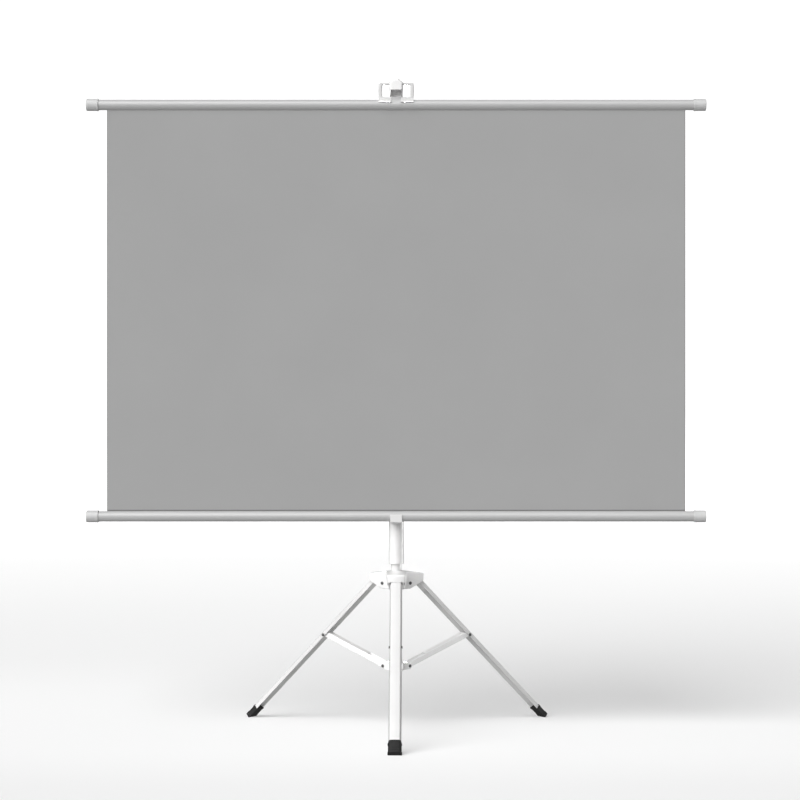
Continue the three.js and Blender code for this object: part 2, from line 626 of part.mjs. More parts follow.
// Stand
assembly.add(piece("tripod_hub", hub().translate(0, 0, hubPinZ), whitePlastic));
legNames.forEach((name, i) => {
  const plane = new THREE.Group();
  plane.rotation.z = legTurns[i];
  const leg = new THREE.Group();
  leg.position.set(HUB_PIN_REACH, 0, hubPinZ);
  leg.rotation.y = -LEG_TILT;
  leg.add(piece(`leg_${name}_channel`, channel(), whiteMetal));
  leg.add(piece(`leg_${name}_knuckle`, knuckle(), whitePlastic));
  leg.add(piece(`leg_${name}_foot`, foot(), blackRubber));
  const bracePin = piece(
    `leg_${name}_brace_rivet`,
    body(rivet(BRACE_PIN_RADIUS, LEG_WIDTH + 2 * GAP, RIVET_HEAD, RIVET_RISE)),
    darkSteel,
  );
  bracePin.position.set(LEG_OFFSET, 0, -braceDown);
  leg.add(bracePin);
  const hubPin = piece(
    `hub_${name}_pin`,
    body(rivet(LEG_PIN_RADIUS, lobeWidth + 2 * GAP, LEG_PIN_HEAD, LEG_PIN_RISE)),
    darkSteel,
  );
  hubPin.position.set(HUB_PIN_REACH, 0, hubPinZ);
  const arm = new THREE.Group();
  arm.position.set(bracePinReach, 0, bracePinZ);
  arm.rotation.y = -BRACE_SLOPE;
  arm.add(piece(`brace_${name}`, brace(), whiteMetal));
  for (const side of [-1, 1]) {
    const stud = piece(
      `brace_${name}_stud_${side < 0 ? "a" : "b"}`,
      body(screw(BRACE_PIN_RADIUS, BRACE_WALL + GAP, RIVET_HEAD, RIVET_RISE)),
      darkSteel,
    );
    stud.position.set(-BRACE_LENGTH, side * (BRACE_WIDTH / 2 + GAP), 0);
    stud.rotation.z = side > 0 ? Math.PI : 0;
    arm.add(stud);
  }
  plane.add(leg, hubPin, arm);
  assembly.add(plane);
});

// Stem with its collar
assembly.add(
  piece("stem_tube", body(tubeZ(STEM_RADIUS, STEM_RADIUS - STEM_WALL, stemBottomZ, stemTopZ)), whiteMetal),
);
assembly.add(piece("brace_collar", collar().translate(0, 0, collarZ), whitePlastic));
const plugRadius = STEM_RADIUS - STEM_WALL - GAP;
assembly.add(
  piece(
    "stem_end_plug",
    body(
      turned([
        [0, stemBottomZ - GAP - FLANGE],
        [STEM_RADIUS + PLUG_RIM, stemBottomZ - GAP - FLANGE],
        [STEM_RADIUS + PLUG_RIM, stemBottomZ - GAP],
        [plugRadius, stemBottomZ - GAP],
        [plugRadius, stemBottomZ + PLUG_LENGTH],
        [0, stemBottomZ + PLUG_LENGTH],
      ]),
    ),
    blackPlastic,
  ),
);

// Lower mast tube with its bush, sleeve and clamp
assembly.add(
  piece(
    "mast_tube_lower",
    body(tubeZ(mastRadius, mastRadius - MAST_WALL, mastBottomZ, mastTopZ)),
    whiteMetal,
  ),
);
const bushRadius = mastRadius - MAST_WALL - GAP;
assembly.add(
  piece(
    "mast_bush",
    body(
      turned([
        [STEM_RADIUS + GAP, mastBottomZ - GAP - FLANGE],
        [mastRadius, mastBottomZ - GAP - FLANGE],
        [mastRadius, mastBottomZ - GAP],
        [bushRadius, mastBottomZ - GAP],
        [bushRadius, mastBottomZ + BUSH_LENGTH],
        [STEM_RADIUS + GAP, mastBottomZ + BUSH_LENGTH],
      ]),
    ),
    nylon,
  ),
);
const sleeveStudZ = sleeveBottomZ + SLEEVE_STUD_RISE;
const sleeveBody = tubeZ(sleeveRadius, mastRadius + GAP, sleeveBottomZ, sleeveBottomZ + SLEEVE_LENGTH);
const studHole = (reach, z) => body(rodY(STUD_RADIUS + GAP, 2 * reach).translate(0, reach, z));
const hookHoles = HOOK_SCREW_RISES.map((rise) =>
  body(rodY(SCREW_RADIUS + GAP, 2 * sleeveRadius).translate(0, -sleeveRadius, bottomTubeZ + rise)),
);
assembly.add(
  piece("hook_sleeve", cut(body(sleeveBody), studHole(sleeveRadius, sleeveStudZ), ...hookHoles), whitePlastic),
);
const clampStudZ = mastTopZ + CLAMP_ABOVE / 2;
const clampBody = turned([
  [mastRadius + GAP, mastTopZ - CLAMP_BELOW],
  [clampRadius, mastTopZ - CLAMP_BELOW],
  [clampRadius, mastTopZ + CLAMP_ABOVE],
  [UPPER_RADIUS + GAP, mastTopZ + CLAMP_ABOVE],
  [UPPER_RADIUS + GAP, mastTopZ + GAP],
  [mastRadius + GAP, mastTopZ + GAP],
]);
assembly.add(piece("mast_clamp", cut(body(clampBody), studHole(clampRadius, clampStudZ)), blackPlastic));

// Clamp knobs, each on a stud that bears on the tube inside
for (const [name, outer, tube, z] of [
  ["sleeve", sleeveRadius, mastRadius, sleeveStudZ],
  ["clamp", clampRadius, UPPER_RADIUS, clampStudZ],
]) {
  const face = outer + 2 * GAP;
  const studEnd = face + KNOB_LENGTH - KNOB_FACE - GAP;
  const stud = rodY(STUD_RADIUS, studEnd - tube - GAP).translate(0, (studEnd + tube + GAP) / 2, z);
  assembly.add(piece(`${name}_knob`, knob().translate(0, face, z), blackPlastic));
  assembly.add(piece(`${name}_stud`, body(stud), brightSteel));
}

// Upper mast tube with its head
const upperBottomZ = mastTopZ - UPPER_INSERT;
const upperTube = body(tubeZ(UPPER_RADIUS, UPPER_RADIUS - MAST_WALL, upperBottomZ, upperTopZ));
const crossHole = rodX(SCREW_RADIUS + GAP, 4 * UPPER_RADIUS).translate(0, 0, topTubeZ - HEAD_BELOW / 2);
assembly.add(piece("mast_tube_upper", cut(upperTube, body(crossHole)), whiteMetal));
assembly.add(piece("mast_head", mastHead().translate(0, 0, topTubeZ), whitePlastic));
const headRivet = rivet(SCREW_RADIUS, 2 * headRadius + 2 * GAP, RIVET_HEAD, RIVET_RISE).rotateZ(Math.PI / 2);
assembly.add(
  piece("mast_head_rivet", body(headRivet.translate(0, 0, topTubeZ - HEAD_BELOW / 2)), brightSteel),
);

// Lower hook with its screws
assembly.add(piece("lower_hook", lowerHook().translate(0, screenY, bottomTubeZ), whiteMetal));
HOOK_SCREW_RISES.forEach((rise, i) => {
  const face = -(sleeveRadius + GAP + HOOK_THICKNESS + GAP);
  const length = SLEEVE_WALL + HOOK_THICKNESS;
  assembly.add(
    piece(
      `lower_hook_screw_${i + 1}`,
      body(screw(SCREW_RADIUS, length, RIVET_HEAD, SCREW_RISE).translate(0, face, bottomTubeZ + rise)),
      brightSteel,
    ),
  );
});

// Screen: two slotted tubes with end caps and splines, and the sheet between them
for (const [name, z, up] of [
  ["top", topTubeZ, -1],
  ["bottom", bottomTubeZ, 1],
]) {
  assembly.add(piece(`${name}_tube`, slottedTube(up).translate(0, screenY, z), greyTube));
  const spline = rodX(SPLINE_RADIUS, SHEET_WIDTH - 2 * SPLINE_INSET, SMALL_ROUND);
  assembly.add(
    piece(`${name}_spline`, body(spline.translate(0, screenY, z + up * splineOffset)), nylon),
  );
  for (const side of [-1, 1]) {
    const cap = piece(`${name}_cap_${side < 0 ? "left" : "right"}`, endCap(), greyCap);
    cap.position.set(side * (tubeLength / 2 + GAP + CAP_END), screenY, z);
    cap.rotation.z = side < 0 ? Math.PI : 0;
    assembly.add(cap);
  }
}
const sheetEdge = splineOffset + SPLINE_RADIUS + GAP;
const sheetLow = bottomTubeZ + sheetEdge;
const sheetHigh = topTubeZ - sheetEdge;
const sheet = block(SHEET_WIDTH, SHEET_THICKNESS, sheetHigh - sheetLow);
assembly.add(
  piece("screen_sheet", body(sheet.translate(0, screenY, (sheetLow + sheetHigh) / 2)), greySheet),
);
assembly.add(piece("bail", bail().translate(0, screenY, topTubeZ), whiteMetal));
assembly.add(piece("bail_clip", bailClip().translate(0, screenY, topTubeZ), greyTube));

// The footprint is centred on the origin
const part = new THREE.Group();
part.name = "tripod_projection_screen";
part.add(assembly);
part.updateMatrixWorld(true);
const box = new THREE.Box3().setFromObject(part, true);
assembly.position.y = -(box.min.y + box.max.y) / 2;

export default part;
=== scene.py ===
# Looks of the tripod projection screen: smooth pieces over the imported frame, their finishes, the floor,
# the light and the camera.
import json
import math

import bmesh
import bpy
from mathutils import Matrix, Vector

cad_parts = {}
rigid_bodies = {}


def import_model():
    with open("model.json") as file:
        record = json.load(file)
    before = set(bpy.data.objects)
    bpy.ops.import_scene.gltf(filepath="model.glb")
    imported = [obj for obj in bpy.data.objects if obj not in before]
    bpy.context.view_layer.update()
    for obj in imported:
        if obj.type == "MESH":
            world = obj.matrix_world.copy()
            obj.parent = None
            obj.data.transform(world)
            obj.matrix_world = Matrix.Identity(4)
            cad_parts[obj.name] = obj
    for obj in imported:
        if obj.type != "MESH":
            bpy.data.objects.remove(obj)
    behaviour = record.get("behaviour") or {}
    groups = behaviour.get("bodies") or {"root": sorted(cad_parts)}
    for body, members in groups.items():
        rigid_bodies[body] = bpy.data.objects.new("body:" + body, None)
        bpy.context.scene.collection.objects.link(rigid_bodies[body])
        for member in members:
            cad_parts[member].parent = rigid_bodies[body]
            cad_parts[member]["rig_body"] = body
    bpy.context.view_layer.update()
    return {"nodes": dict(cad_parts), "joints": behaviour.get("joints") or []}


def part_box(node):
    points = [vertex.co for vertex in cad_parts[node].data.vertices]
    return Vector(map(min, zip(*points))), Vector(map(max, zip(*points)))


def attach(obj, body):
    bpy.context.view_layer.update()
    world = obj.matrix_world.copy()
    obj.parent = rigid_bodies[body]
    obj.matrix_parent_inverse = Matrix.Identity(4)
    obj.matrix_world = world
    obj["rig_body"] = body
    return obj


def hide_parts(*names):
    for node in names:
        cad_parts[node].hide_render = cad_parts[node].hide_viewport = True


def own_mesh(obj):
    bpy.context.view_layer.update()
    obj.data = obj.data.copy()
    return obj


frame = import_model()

MM = 0.001
QUARTER = math.pi / 2

# Sizes of the pieces in millimetres
GAP = 0.3  # room between two pieces that touch
ROUND = 64  # sides of a tube
SMALL_ROUND = 32  # sides of a pin

LEG_TILT = math.radians(46)  # from upright
LEG_REACH = 467  # hub pin to the toe, along the leg
LEG_WIDTH = 26
LEG_DEPTH = 10.5
LEG_TAPER = 2.8  # crest narrower than the open edge, at each side
LEG_ROUND = 3.5  # corners of the crest
LEG_CROWN = 0.8  # crest higher in the middle
LEG_WALL = 1.4
LEG_TOP = 14  # hub pin to the upper end of the channel
LEG_BACK = 16.8  # hub pin to the open edge of the channel, square to the leg
LEG_END = 455
BRACE_PIN_DEPTH = 3.2  # brace pin above the open edge of the channel
BRACE_DOWN = 190  # hub pin to the brace pin, along the leg
FOOT_WALL = 0.8
FOOT_BACK = 1.4
FOOT_LENGTH = 35
FOOT_ROUND = 4.2  # corners of its back
FOOT_LIP = 0.7  # rims prouder than the foot
TOE_BLUNT = 5  # foot shorter than the pointed toe
FOOT_RIM = 6  # height of the raised rim of a foot
FOOT_SOLE = 8  # height of the raised rim at its sole

HUB_PIN_REACH = 25
LOBE_REACH = 60
LOBE_WIDTH = 33
LOBE_DROP = 12.5
LOBE_LIP = 4.5  # lip of the hood above the leg pins
HOOD_RISE = 27
HOOD_FALL = 6
HOOD_ROOM = 15.5
HUB_FILLET = 14  # between two lobes
HUB_FLARE = 0.009  # widening of the lobes per millimetre of height
EYE_RADIUS = 9

BRACE_LENGTH = 158.5
BRACE_WIDTH = 18
BRACE_HEIGHT = 11.5
BRACE_WALL = 1.2
BRACE_EDGE = 3.2  # pin line above the open edge
FORK_LENGTH = 46
COLLAR_PIN_REACH = 28.5
COLLAR_RADIUS = 15
COLLAR_HEIGHT = 19
TONGUE_RADIUS = 6

MAST_RADIUS = 11
UPPER_RADIUS = 9
STEM_RADIUS = 6.5
TUBE_WALL = 1
SLEEVE_RADIUS = 15.8
CLAMP_RADIUS = 15.3
KNOB_RADIUS = 12.5
KNOB_LENGTH = 14
STUD_RADIUS = 3
PLUG_HEAD = 3  # height of the flanges of plug and bush
CLAMP_GROOVE = 0.8

RIVET_RADIUS = 2.2
RIVET_HEAD = 3.4  # radius of the head of a rivet or screw
RIVET_DOME = 1  # height of the head
PIN_HEAD = 3.5
PIN_DOME = 1.3
SCREW_RADIUS = 2
SCREW_DOME = 1.8
SCREW_SLOT = 0.7  # width of its cross slot

SCREEN_TUBE_RADIUS = 11
SCREEN_TUBE_WALL = 1.2
SCREEN_TUBE_SLOT = 1.7
CAP_RADIUS = 12.7
CAP_END = 3.2
SHEET_THICKNESS = 0.5
SHEET_SIDE_BAND = 1.2  # darker band at each side of the sheet
SHEET_FOOT_SHADE = 4.2  # painted shade along its foot, where it goes into the tube's slot, most of it in the tube

HOOK_WIDTH = 24.8
HOOK_THICKNESS = 2.2
HOOK_BEND = 1.5  # inner radius of its two bends
HOOK_ROOM = 11.5  # tube's axis to the hook
HOOK_LIP = 4.4
HOOK_BACK = 44
BAIL_WIDTH = 73.5
BAIL_FOOT = 11.3
BAIL_TOP = 47
BAIL_SIDE = 7.2
BAIL_BAR = 4.6
BAIL_DEPTH = 5
BAIL_CORNER = 4
BAIL_EDGE = 2.1  # round of its edges
BAIL_BULGE = 1  # sides of the bail rounder outward
BAIL_SPLAY = 2  # foot bar higher at the sides
SADDLE_WALL = 3.0  # wings of the bail over the top tube
SADDLE_EDGE = 7.6  # front edge of the wings above the tube's axis, at their ends
SADDLE_DIP = 2.6  # the same edge lower toward the clip
CLIP_WIDTH = 19.4
CLIP_THICKNESS = 0.9
CLIP_WRAP = 36  # degrees below the tube's axis
HEAD_RADIUS = 13.5
HEAD_BELOW = 20
HEAD_TOP = 42.1
NOSE_WIDTH = 28.5
NOSE_DEPTH = 6
NOSE_RISE = 8
NOSE_FLAT = 10
NOSE_EDGE = 4.6  # round of its front edges
NOSE_TAPER = 2.5  # narrower at its foot, at each side
ARM_HEIGHT = 10.5
HEAD_CHEEK = 3
RECESS_DEPTH = 20  # between the cheeks
CHEEK_LOW = 17.6  # lower edge of the head's cheeks above the tube's axis
SKEW = 0.02  # keeps two joined faces out of one plane

joints = {joint["name"]: joint for joint in frame["joints"]}


# Places, from the frame
def middle(node):
    low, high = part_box(node)
    return (low + high) / 2


def at(place):
    """Millimetre coordinates about a place in the frame."""
    return Matrix.Translation(place) @ Matrix.Scale(MM, 4)


mast_middle = middle("mast_tube_lower")
mast_foot = Vector((mast_middle.x, mast_middle.y, 0))
top_axis = middle("top_tube")
top_axis.z = middle("top_cap_left").z
bottom_axis = middle("bottom_tube")
bottom_axis.z = middle("bottom_cap_left").z
hub_pin_z = joints["leg_fold"]["pos_m"][2]
collar_z = middle("brace_collar").z


def turn_of(joint):
    """Angle about the mast of the leg that a joint belongs to."""
    outward = Vector(joint["axis"]).cross(Vector((0, 0, 1)))
    return math.atan2(outward.y, outward.x)


leg_joints = {
    "front": joints["leg_fold"],
    "right": joints["leg_right_fold"],
    "left": joints["leg_left_fold"],
}
leg_turns = {name: turn_of(joint) for name, joint in leg_joints.items()}

# Turns of a flat shape: thickness along X, and thickness along Y
ALONG_X = Matrix(((0, 0, 1, 0), (1, 0, 0, 0), (0, 1, 0, 0), (0, 0, 0, 1)))
ALONG_Y = Matrix.Rotation(QUARTER, 4, "X")


def spin(angle):
    return Matrix.Rotation(angle, 4, "Z")


def shift(x=0.0, y=0.0, z=0.0):
    return Matrix.Translation((x, y, z))


# Outlines
def arc(x, y, radius, start, end, steps=12):
    """Points of an arc, angles in degrees."""
    angles = [math.radians(start + (end - start) * i / steps) for i in range(steps + 1)]
    return [(x + radius * math.cos(a), y + radius * math.sin(a)) for a in angles]


def rounded(corners, steps=6):
    """Closed outline from (x, y, radius) corners, each corner turned into an arc of its radius."""
    outline = []
    for i, (x, y, radius) in enumerate(corners):
        here = Vector((x, y))
        before = Vector(corners[i - 1][:2]) - here
        after = Vector(corners[(i + 1) % len(corners)][:2]) - here
        half = before.angle(after) / 2
        reach = radius / math.tan(half)
        if reach < 1e-6:
            outline.append((x, y))
            continue
        reach = min(reach, 0.49 * before.length, 0.49 * after.length)
        toward = (before.normalized() + after.normalized()).normalized()
        centre = here + toward * (reach / math.cos(half))
        first = here + before.normalized() * reach - centre
        last = here + after.normalized() * reach - centre
        sweep = first.angle_signed(last)
        for step in range(steps + 1):
            point = centre + Matrix.Rotation(-sweep * step / steps, 2) @ first
            outline.append(tuple(point))
    return outline


def channel(half_width, depth, corner=LEG_ROUND):
    """Section of a leg, its open edge on x = 0: leaning sides and a crowned back."""
    crest = half_width - LEG_TAPER
    return rounded(
        [
            (0, half_width, 0),
            (depth - LEG_CROWN, crest, corner),
            (depth, 0, 40),
            (depth - LEG_CROWN, -crest, corner),
            (0, -half_width, 0),
        ]
    )


# Solids
def new_object(name, mesh):
    made = bpy.data.objects.new(name, mesh)
    bpy.context.scene.collection.objects.link(made)
    return made


def closed_object(name, form):
    """Object from a bmesh, its doubled points joined and its faces turned outward."""
    bmesh.ops.remove_doubles(form, verts=form.verts, dist=1e-4)
    bmesh.ops.recalc_face_normals(form, faces=form.faces)
    mesh = bpy.data.meshes.new(name)
    form.to_mesh(mesh)
    form.free()
    return new_object(name, mesh)


def slab(outlines, thickness, edge=0.5, steps=3, turn=Matrix(), name="slab"):
    """Flat body about the XY plane with rounded edges; outlines after the first are holes."""
    curve = bpy.data.curves.new(name, "CURVE")
    curve.dimensions = "2D"
    curve.fill_mode = "BOTH"
    curve.extrude = thickness / 2 - edge
    curve.bevel_depth = edge
    curve.bevel_resolution = steps
    curve.offset = -edge
    for outline in outlines:
        spline = curve.splines.new("POLY")
        spline.points.add(len(outline) - 1)
        for point, (x, y) in zip(spline.points, outline):
            point.co = (x, y, 0, 1)
        spline.use_cyclic_u = True
    drawn = new_object(name, curve)
    mesh = bpy.data.meshes.new_from_object(drawn.evaluated_get(bpy.context.evaluated_depsgraph_get()))
    bpy.data.objects.remove(drawn)
    form = bmesh.new()
    form.from_mesh(mesh)
    bpy.data.meshes.remove(mesh)
    form.transform(turn)
    return closed_object(name, form)


def lathe(profile, sides=ROUND, turn=Matrix(), name="lathe"):
    """Body turned about Z from a closed profile of (radius, height) points."""
    form = bmesh.new()
    rings = []
    for radius, height in profile:
        count = sides if radius > 1e-6 else 1
        angles = [2 * math.pi * i / count for i in range(count)]
        rings.append([form.verts.new((radius * math.cos(a), radius * math.sin(a), height)) for a in angles])
    for ring, after in zip(rings, rings[1:] + rings[:1]):
        if len(ring) == 1 and len(after) == 1:
            continue
        for i in range(sides):
            corners = [ring[i % len(ring)], ring[(i + 1) % len(ring)]]
            corners += [after[(i + 1) % len(after)], after[i % len(after)]]
            form.faces.new(dict.fromkeys(corners))
    form.transform(turn)
    return closed_object(name, form)


def box(width, depth, height, turn=Matrix()):
    """Plain block about the origin, used to cut."""
    form = bmesh.new()
    bmesh.ops.create_cube(form, size=1)
    form.transform(turn @ Matrix.Diagonal((width, depth, height, 1)))
    return closed_object("box", form)


def tube_profile(outer, inner, low, high, edge=0.35):
    return rounded([(inner, low, edge), (outer, low, edge), (outer, high, edge), (inner, high, edge)], 3)


def rod_profile(radius, low, high, edge):
    return rounded([(0, low, 0), (radius, low, edge), (radius, high, edge), (0, high, 0)], 5)


def combine(body, operation, *tools):
    """Joins the tools to a body, or cuts them from it."""
    for tool in tools:
        step = body.modifiers.new(operation, "BOOLEAN")
        step.operation = operation
        step.object = tool
    shaped = bpy.data.meshes.new_from_object(body.evaluated_get(bpy.context.evaluated_depsgraph_get()))
    body.modifiers.clear()
    body.data = shaped
    for tool in tools:
        bpy.data.objects.remove(tool)
    return body


def join(body, *tools):
    return combine(body, "UNION", *tools)


def cut(body, *tools):
    return combine(body, "DIFFERENCE", *tools)


def mould(body, grain, passes):
    """Rounds every edge of a body, as a moulded piece is."""
    fuse = body.modifiers.new("fuse", "REMESH")
    fuse.mode = "VOXEL"
    fuse.voxel_size = grain
    relax = body.modifiers.new("relax", "SMOOTH")
    relax.factor = 0.5
    relax.iterations = passes
    thin = body.modifiers.new("thin", "DECIMATE")
    thin.ratio = 0.4
    return combine(body, "UNION")


def dress(body, node, slot, place, bevel=0.0):
    """Puts a body in its place as the look of a CAD node."""
    body.name = node + "_shape"
    body.data.name = body.name
    body.data.transform(place)
    body.data.materials.clear()
    body.data.materials.append(finishes[slot])
    body.data.shade_smooth()
    body.data.set_sharp_from_angle(angle=math.radians(40))
    if bevel:
        soften = body.modifiers.new("soften", "BEVEL")
        soften.width = bevel * MM
        soften.segments = 2
        soften.limit_method = "ANGLE"
        soften.angle_limit = math.radians(40)
    weigh = body.modifiers.new("weigh", "WEIGHTED_NORMAL")
    weigh.keep_sharp = True
    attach(body, frame["nodes"][node]["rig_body"])
    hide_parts(node)
    return body


# Finishes
def shader(name):
    made = bpy.data.materials.new(name)
    made.use_nodes = True
    return made, made.node_tree, made.node_tree.nodes["Principled BSDF"]


def coordinates(tree, stretch=(1, 1, 1)):
    """Position on the object in metres, stretched."""
    place = tree.nodes.new("ShaderNodeTexCoord")
    scaled = tree.nodes.new("ShaderNodeMapping")
    scaled.inputs["Scale"].default_value = stretch
    tree.links.new(place.outputs["Object"], scaled.inputs["Vector"])
    return scaled.outputs["Vector"]


def noise(tree, vector, scale, detail=3.0):
    made = tree.nodes.new("ShaderNodeTexNoise")
    made.inputs["Scale"].default_value = scale
    made.inputs["Detail"].default_value = detail
    tree.links.new(vector, made.inputs["Vector"])
    return made.outputs["Fac"]


def ramp(tree, factor, low, high, start=0.3, end=0.7):
    """Colour between low and high as a factor goes from start to end."""
    made = tree.nodes.new("ShaderNodeValToRGB")
    made.color_ramp.elements[0].position = start
    made.color_ramp.elements[1].position = end
    made.color_ramp.elements[0].color = (*low, 1)
    made.color_ramp.elements[1].color = (*high, 1)
    tree.links.new(factor, made.inputs["Fac"])
    return made.outputs["Color"]


def spread(tree, factor, low, high):
    """Number between low and high as a factor goes from 0.3 to 0.7."""
    made = tree.nodes.new("ShaderNodeMapRange")
    made.inputs["From Min"].default_value = 0.3
    made.inputs["From Max"].default_value = 0.7
    made.inputs["To Min"].default_value = low
    made.inputs["To Max"].default_value = high
    tree.links.new(factor, made.inputs["Value"])
    return made.outputs["Result"]


def bump(tree, surface, height, depth):
    """Relief of a depth in millimetres."""
    made = tree.nodes.new("ShaderNodeBump")
    made.inputs["Strength"].default_value = 1
    made.inputs["Distance"].default_value = depth * MM
    tree.links.new(height, made.inputs["Height"])
    tree.links.new(made.outputs["Normal"], surface.inputs["Normal"])


def mixed(tree, factor, first, second):
    made = tree.nodes.new("ShaderNodeMix")
    made.data_type = "RGBA"
    tree.links.new(factor, made.inputs["Factor"])
    tree.links.new(first, made.inputs["A"])
    tree.links.new(second, made.inputs["B"])
    return made.outputs["Result"]


def calculated(tree, operation, first, second=None):
    """Result of a calculation, its second term a number or an output of another node."""
    made = tree.nodes.new("ShaderNodeMath")
    made.operation = operation
    tree.links.new(first, made.inputs[0])
    if isinstance(second, float):
        made.inputs[1].default_value = second
    elif second:
        tree.links.new(second, made.inputs[1])
    return made.outputs["Value"]


def grey(level, warmth=0.0):
    return (level * (1 + warmth), level, level * (1 - warmth))


def grained(name, low, high, roughness, patch, grain, depth, metallic=0.0, stretch=(1, 1, 1)):
    """Finish with soft patches of tone, a fine grain in its relief and an uneven gloss."""
    made, tree, surface = shader(name)
    vector = coordinates(tree, stretch)
    patches = noise(tree, vector, patch)
    grains = noise(tree, vector, grain, 2.0)
    tree.links.new(ramp(tree, patches, low, high), surface.inputs["Base Color"])
    tree.links.new(spread(tree, patches, *roughness), surface.inputs["Roughness"])
    surface.inputs["Metallic"].default_value = metallic
    bump(tree, surface, grains, depth)
    return made


def worn_paint(name, low, high, roughness, patch, grain, depth, bare):
    """Paint with an orange-peel relief, rubbed a little along its edges."""
    made, tree, surface = shader(name)
    vector = coordinates(tree)
    patches = noise(tree, vector, patch)
    grains = noise(tree, vector, grain, 2.0)
    edges = tree.nodes.new("ShaderNodeNewGeometry").outputs["Pointiness"]
    rubbed = ramp(tree, edges, grey(0), grey(0.35), 0.56, 0.66)
    scuffs = calculated(tree, "MULTIPLY", rubbed, noise(tree, vector, 160, 4.0))
    paint = ramp(tree, patches, low, high)
    metal = ramp(tree, grains, bare, bare)
    tree.links.new(mixed(tree, scuffs, paint, metal), surface.inputs["Base Color"])
    tree.links.new(spread(tree, patches, *roughness), surface.inputs["Roughness"])
    bump(tree, surface, grains, depth)
    return made


def white_paint(name, level):
    """White paint about a level of grey."""
    low, high = grey(level - 0.02, WARMTH), grey(level + 0.02, WARMTH)
    return worn_paint(name, low, high, (0.32, 0.44), 14, 900, 0.03, grey(0.5))


def sheet_front():
    """Matt screen cloth: a fine grain, a faint weave, a darker band at each side, and painted shade along
    its foot, where it goes into the slot of the bottom tube.
    """
    made, tree, surface = shader("grey_sheet")
    vector = coordinates(tree)
    patches = noise(tree, vector, 5)
    cloth = ramp(tree, patches, grey(SHEET_TONE * 0.985), grey(SHEET_TONE * 1.015))
    # Tone of the darker side bands, and of the painted shade at the foot
    edge = ramp(tree, patches, grey(SHEET_TONE * 0.55), grey(SHEET_TONE * 0.57))
    split = tree.nodes.new("ShaderNodeSeparateXYZ")
    tree.links.new(vector, split.inputs["Vector"])
    low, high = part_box("screen_sheet")
    across = calculated(tree, "ABSOLUTE", split.outputs["X"])
    side = calculated(tree, "GREATER_THAN", across, high.x - SHEET_SIDE_BAND * MM)
    # Painted shade: a darker band along the foot of the sheet, where it goes into the slot of the bottom
    # tube
    foot = calculated(tree, "LESS_THAN", split.outputs["Z"], low.z + SHEET_FOOT_SHADE * MM)
    side_band_and_foot_shade = calculated(tree, "MAXIMUM", side, foot)
    tree.links.new(mixed(tree, side_band_and_foot_shade, cloth, edge), surface.inputs["Base Color"])
    surface.inputs["Roughness"].default_value = 0.9
    surface.inputs["Specular IOR Level"].default_value = 0.2
    weave = calculated(tree, "ADD", threads(tree, vector, "X"), threads(tree, vector, "Z"))
    bump(tree, surface, weave, 0.03)
    return made


def threads(tree, vector, direction):
    """Fine bands across the cloth, bent a little by noise."""
    made = tree.nodes.new("ShaderNodeTexWave")
    made.bands_direction = direction
    made.inputs["Scale"].default_value = 420
    made.inputs["Distortion"].default_value = 1.2
    made.inputs["Detail"].default_value = 1
    tree.links.new(vector, made.inputs["Vector"])
    return made.outputs["Fac"]


WARMTH = 0.004  # of white paint and plastic
SHEET_TONE = 0.346
TUBE_GRAIN = (6, 900, 900)
finishes = {
    "white_metal": white_paint("white_metal", 0.74),
    "white_plastic": grained(
        "white_plastic", grey(0.84, WARMTH), grey(0.88, WARMTH), (0.34, 0.46), 20, 1400, 0.02
    ),
    "grey_tube": grained("grey_tube", grey(0.46), grey(0.50), (0.40, 0.48), 1, 1, 0.01, 0.1, TUBE_GRAIN),
    "grey_cap": grained("grey_cap", grey(0.52), grey(0.56), (0.40, 0.5), 60, 2200, 0.03),
    "grey_sheet": sheet_front(),
    "black_rubber": grained("black_rubber", grey(0.006), grey(0.011), (0.62, 0.85), 90, 1800, 0.05),
    "black_plastic": grained("black_plastic", grey(0.016), grey(0.024), (0.42, 0.6), 60, 2000, 0.03),
    "dark_steel": grained("dark_steel", grey(0.11), grey(0.15), (0.3, 0.45), 200, 2500, 0.02, 0.8),
    "bright_steel": grained("bright_steel", grey(0.46), grey(0.54), (0.24, 0.36), 200, 2500, 0.02, 0.9),
    "nylon": grained("nylon", grey(0.72, 0.02), grey(0.78, 0.02), (0.5, 0.62), 60, 1800, 0.02),
}
for slot in ("white_metal", "white_plastic"):
    glaze = finishes[slot].node_tree.nodes["Principled BSDF"]
    glaze.inputs["Coat Weight"].default_value = 0.6
    glaze.inputs["Coat Roughness"].default_value = 0.15
# Painted light: the braces get a lighter copy of the legs' white paint, which makes them look more brightly
# lit
brace_painted_light = white_paint("brace_painted_light", 0.90)
bail_paint = white_paint("bail_paint", 0.64)
sheet_back = grained("sheet_back", grey(0.045), grey(0.06), (0.75, 0.9), 30, 1200, 0.04)


# Legs, in a frame with the hub pin as origin, the leg down -Z and its back toward +X
def leg_section(outline, top, bottom, back, edge):
    return slab([outline], bottom - top, edge, turn=shift(back, 0, -(top + bottom) / 2))


def leg_channel():
    outer = channel(LEG_WIDTH / 2, LEG_DEPTH)
    inner = channel(LEG_WIDTH / 2 - LEG_WALL, LEG_DEPTH - LEG_WALL)
    return leg_section(outer + inner[::-1], LEG_TOP, LEG_END, LEG_BACK, 0.5)


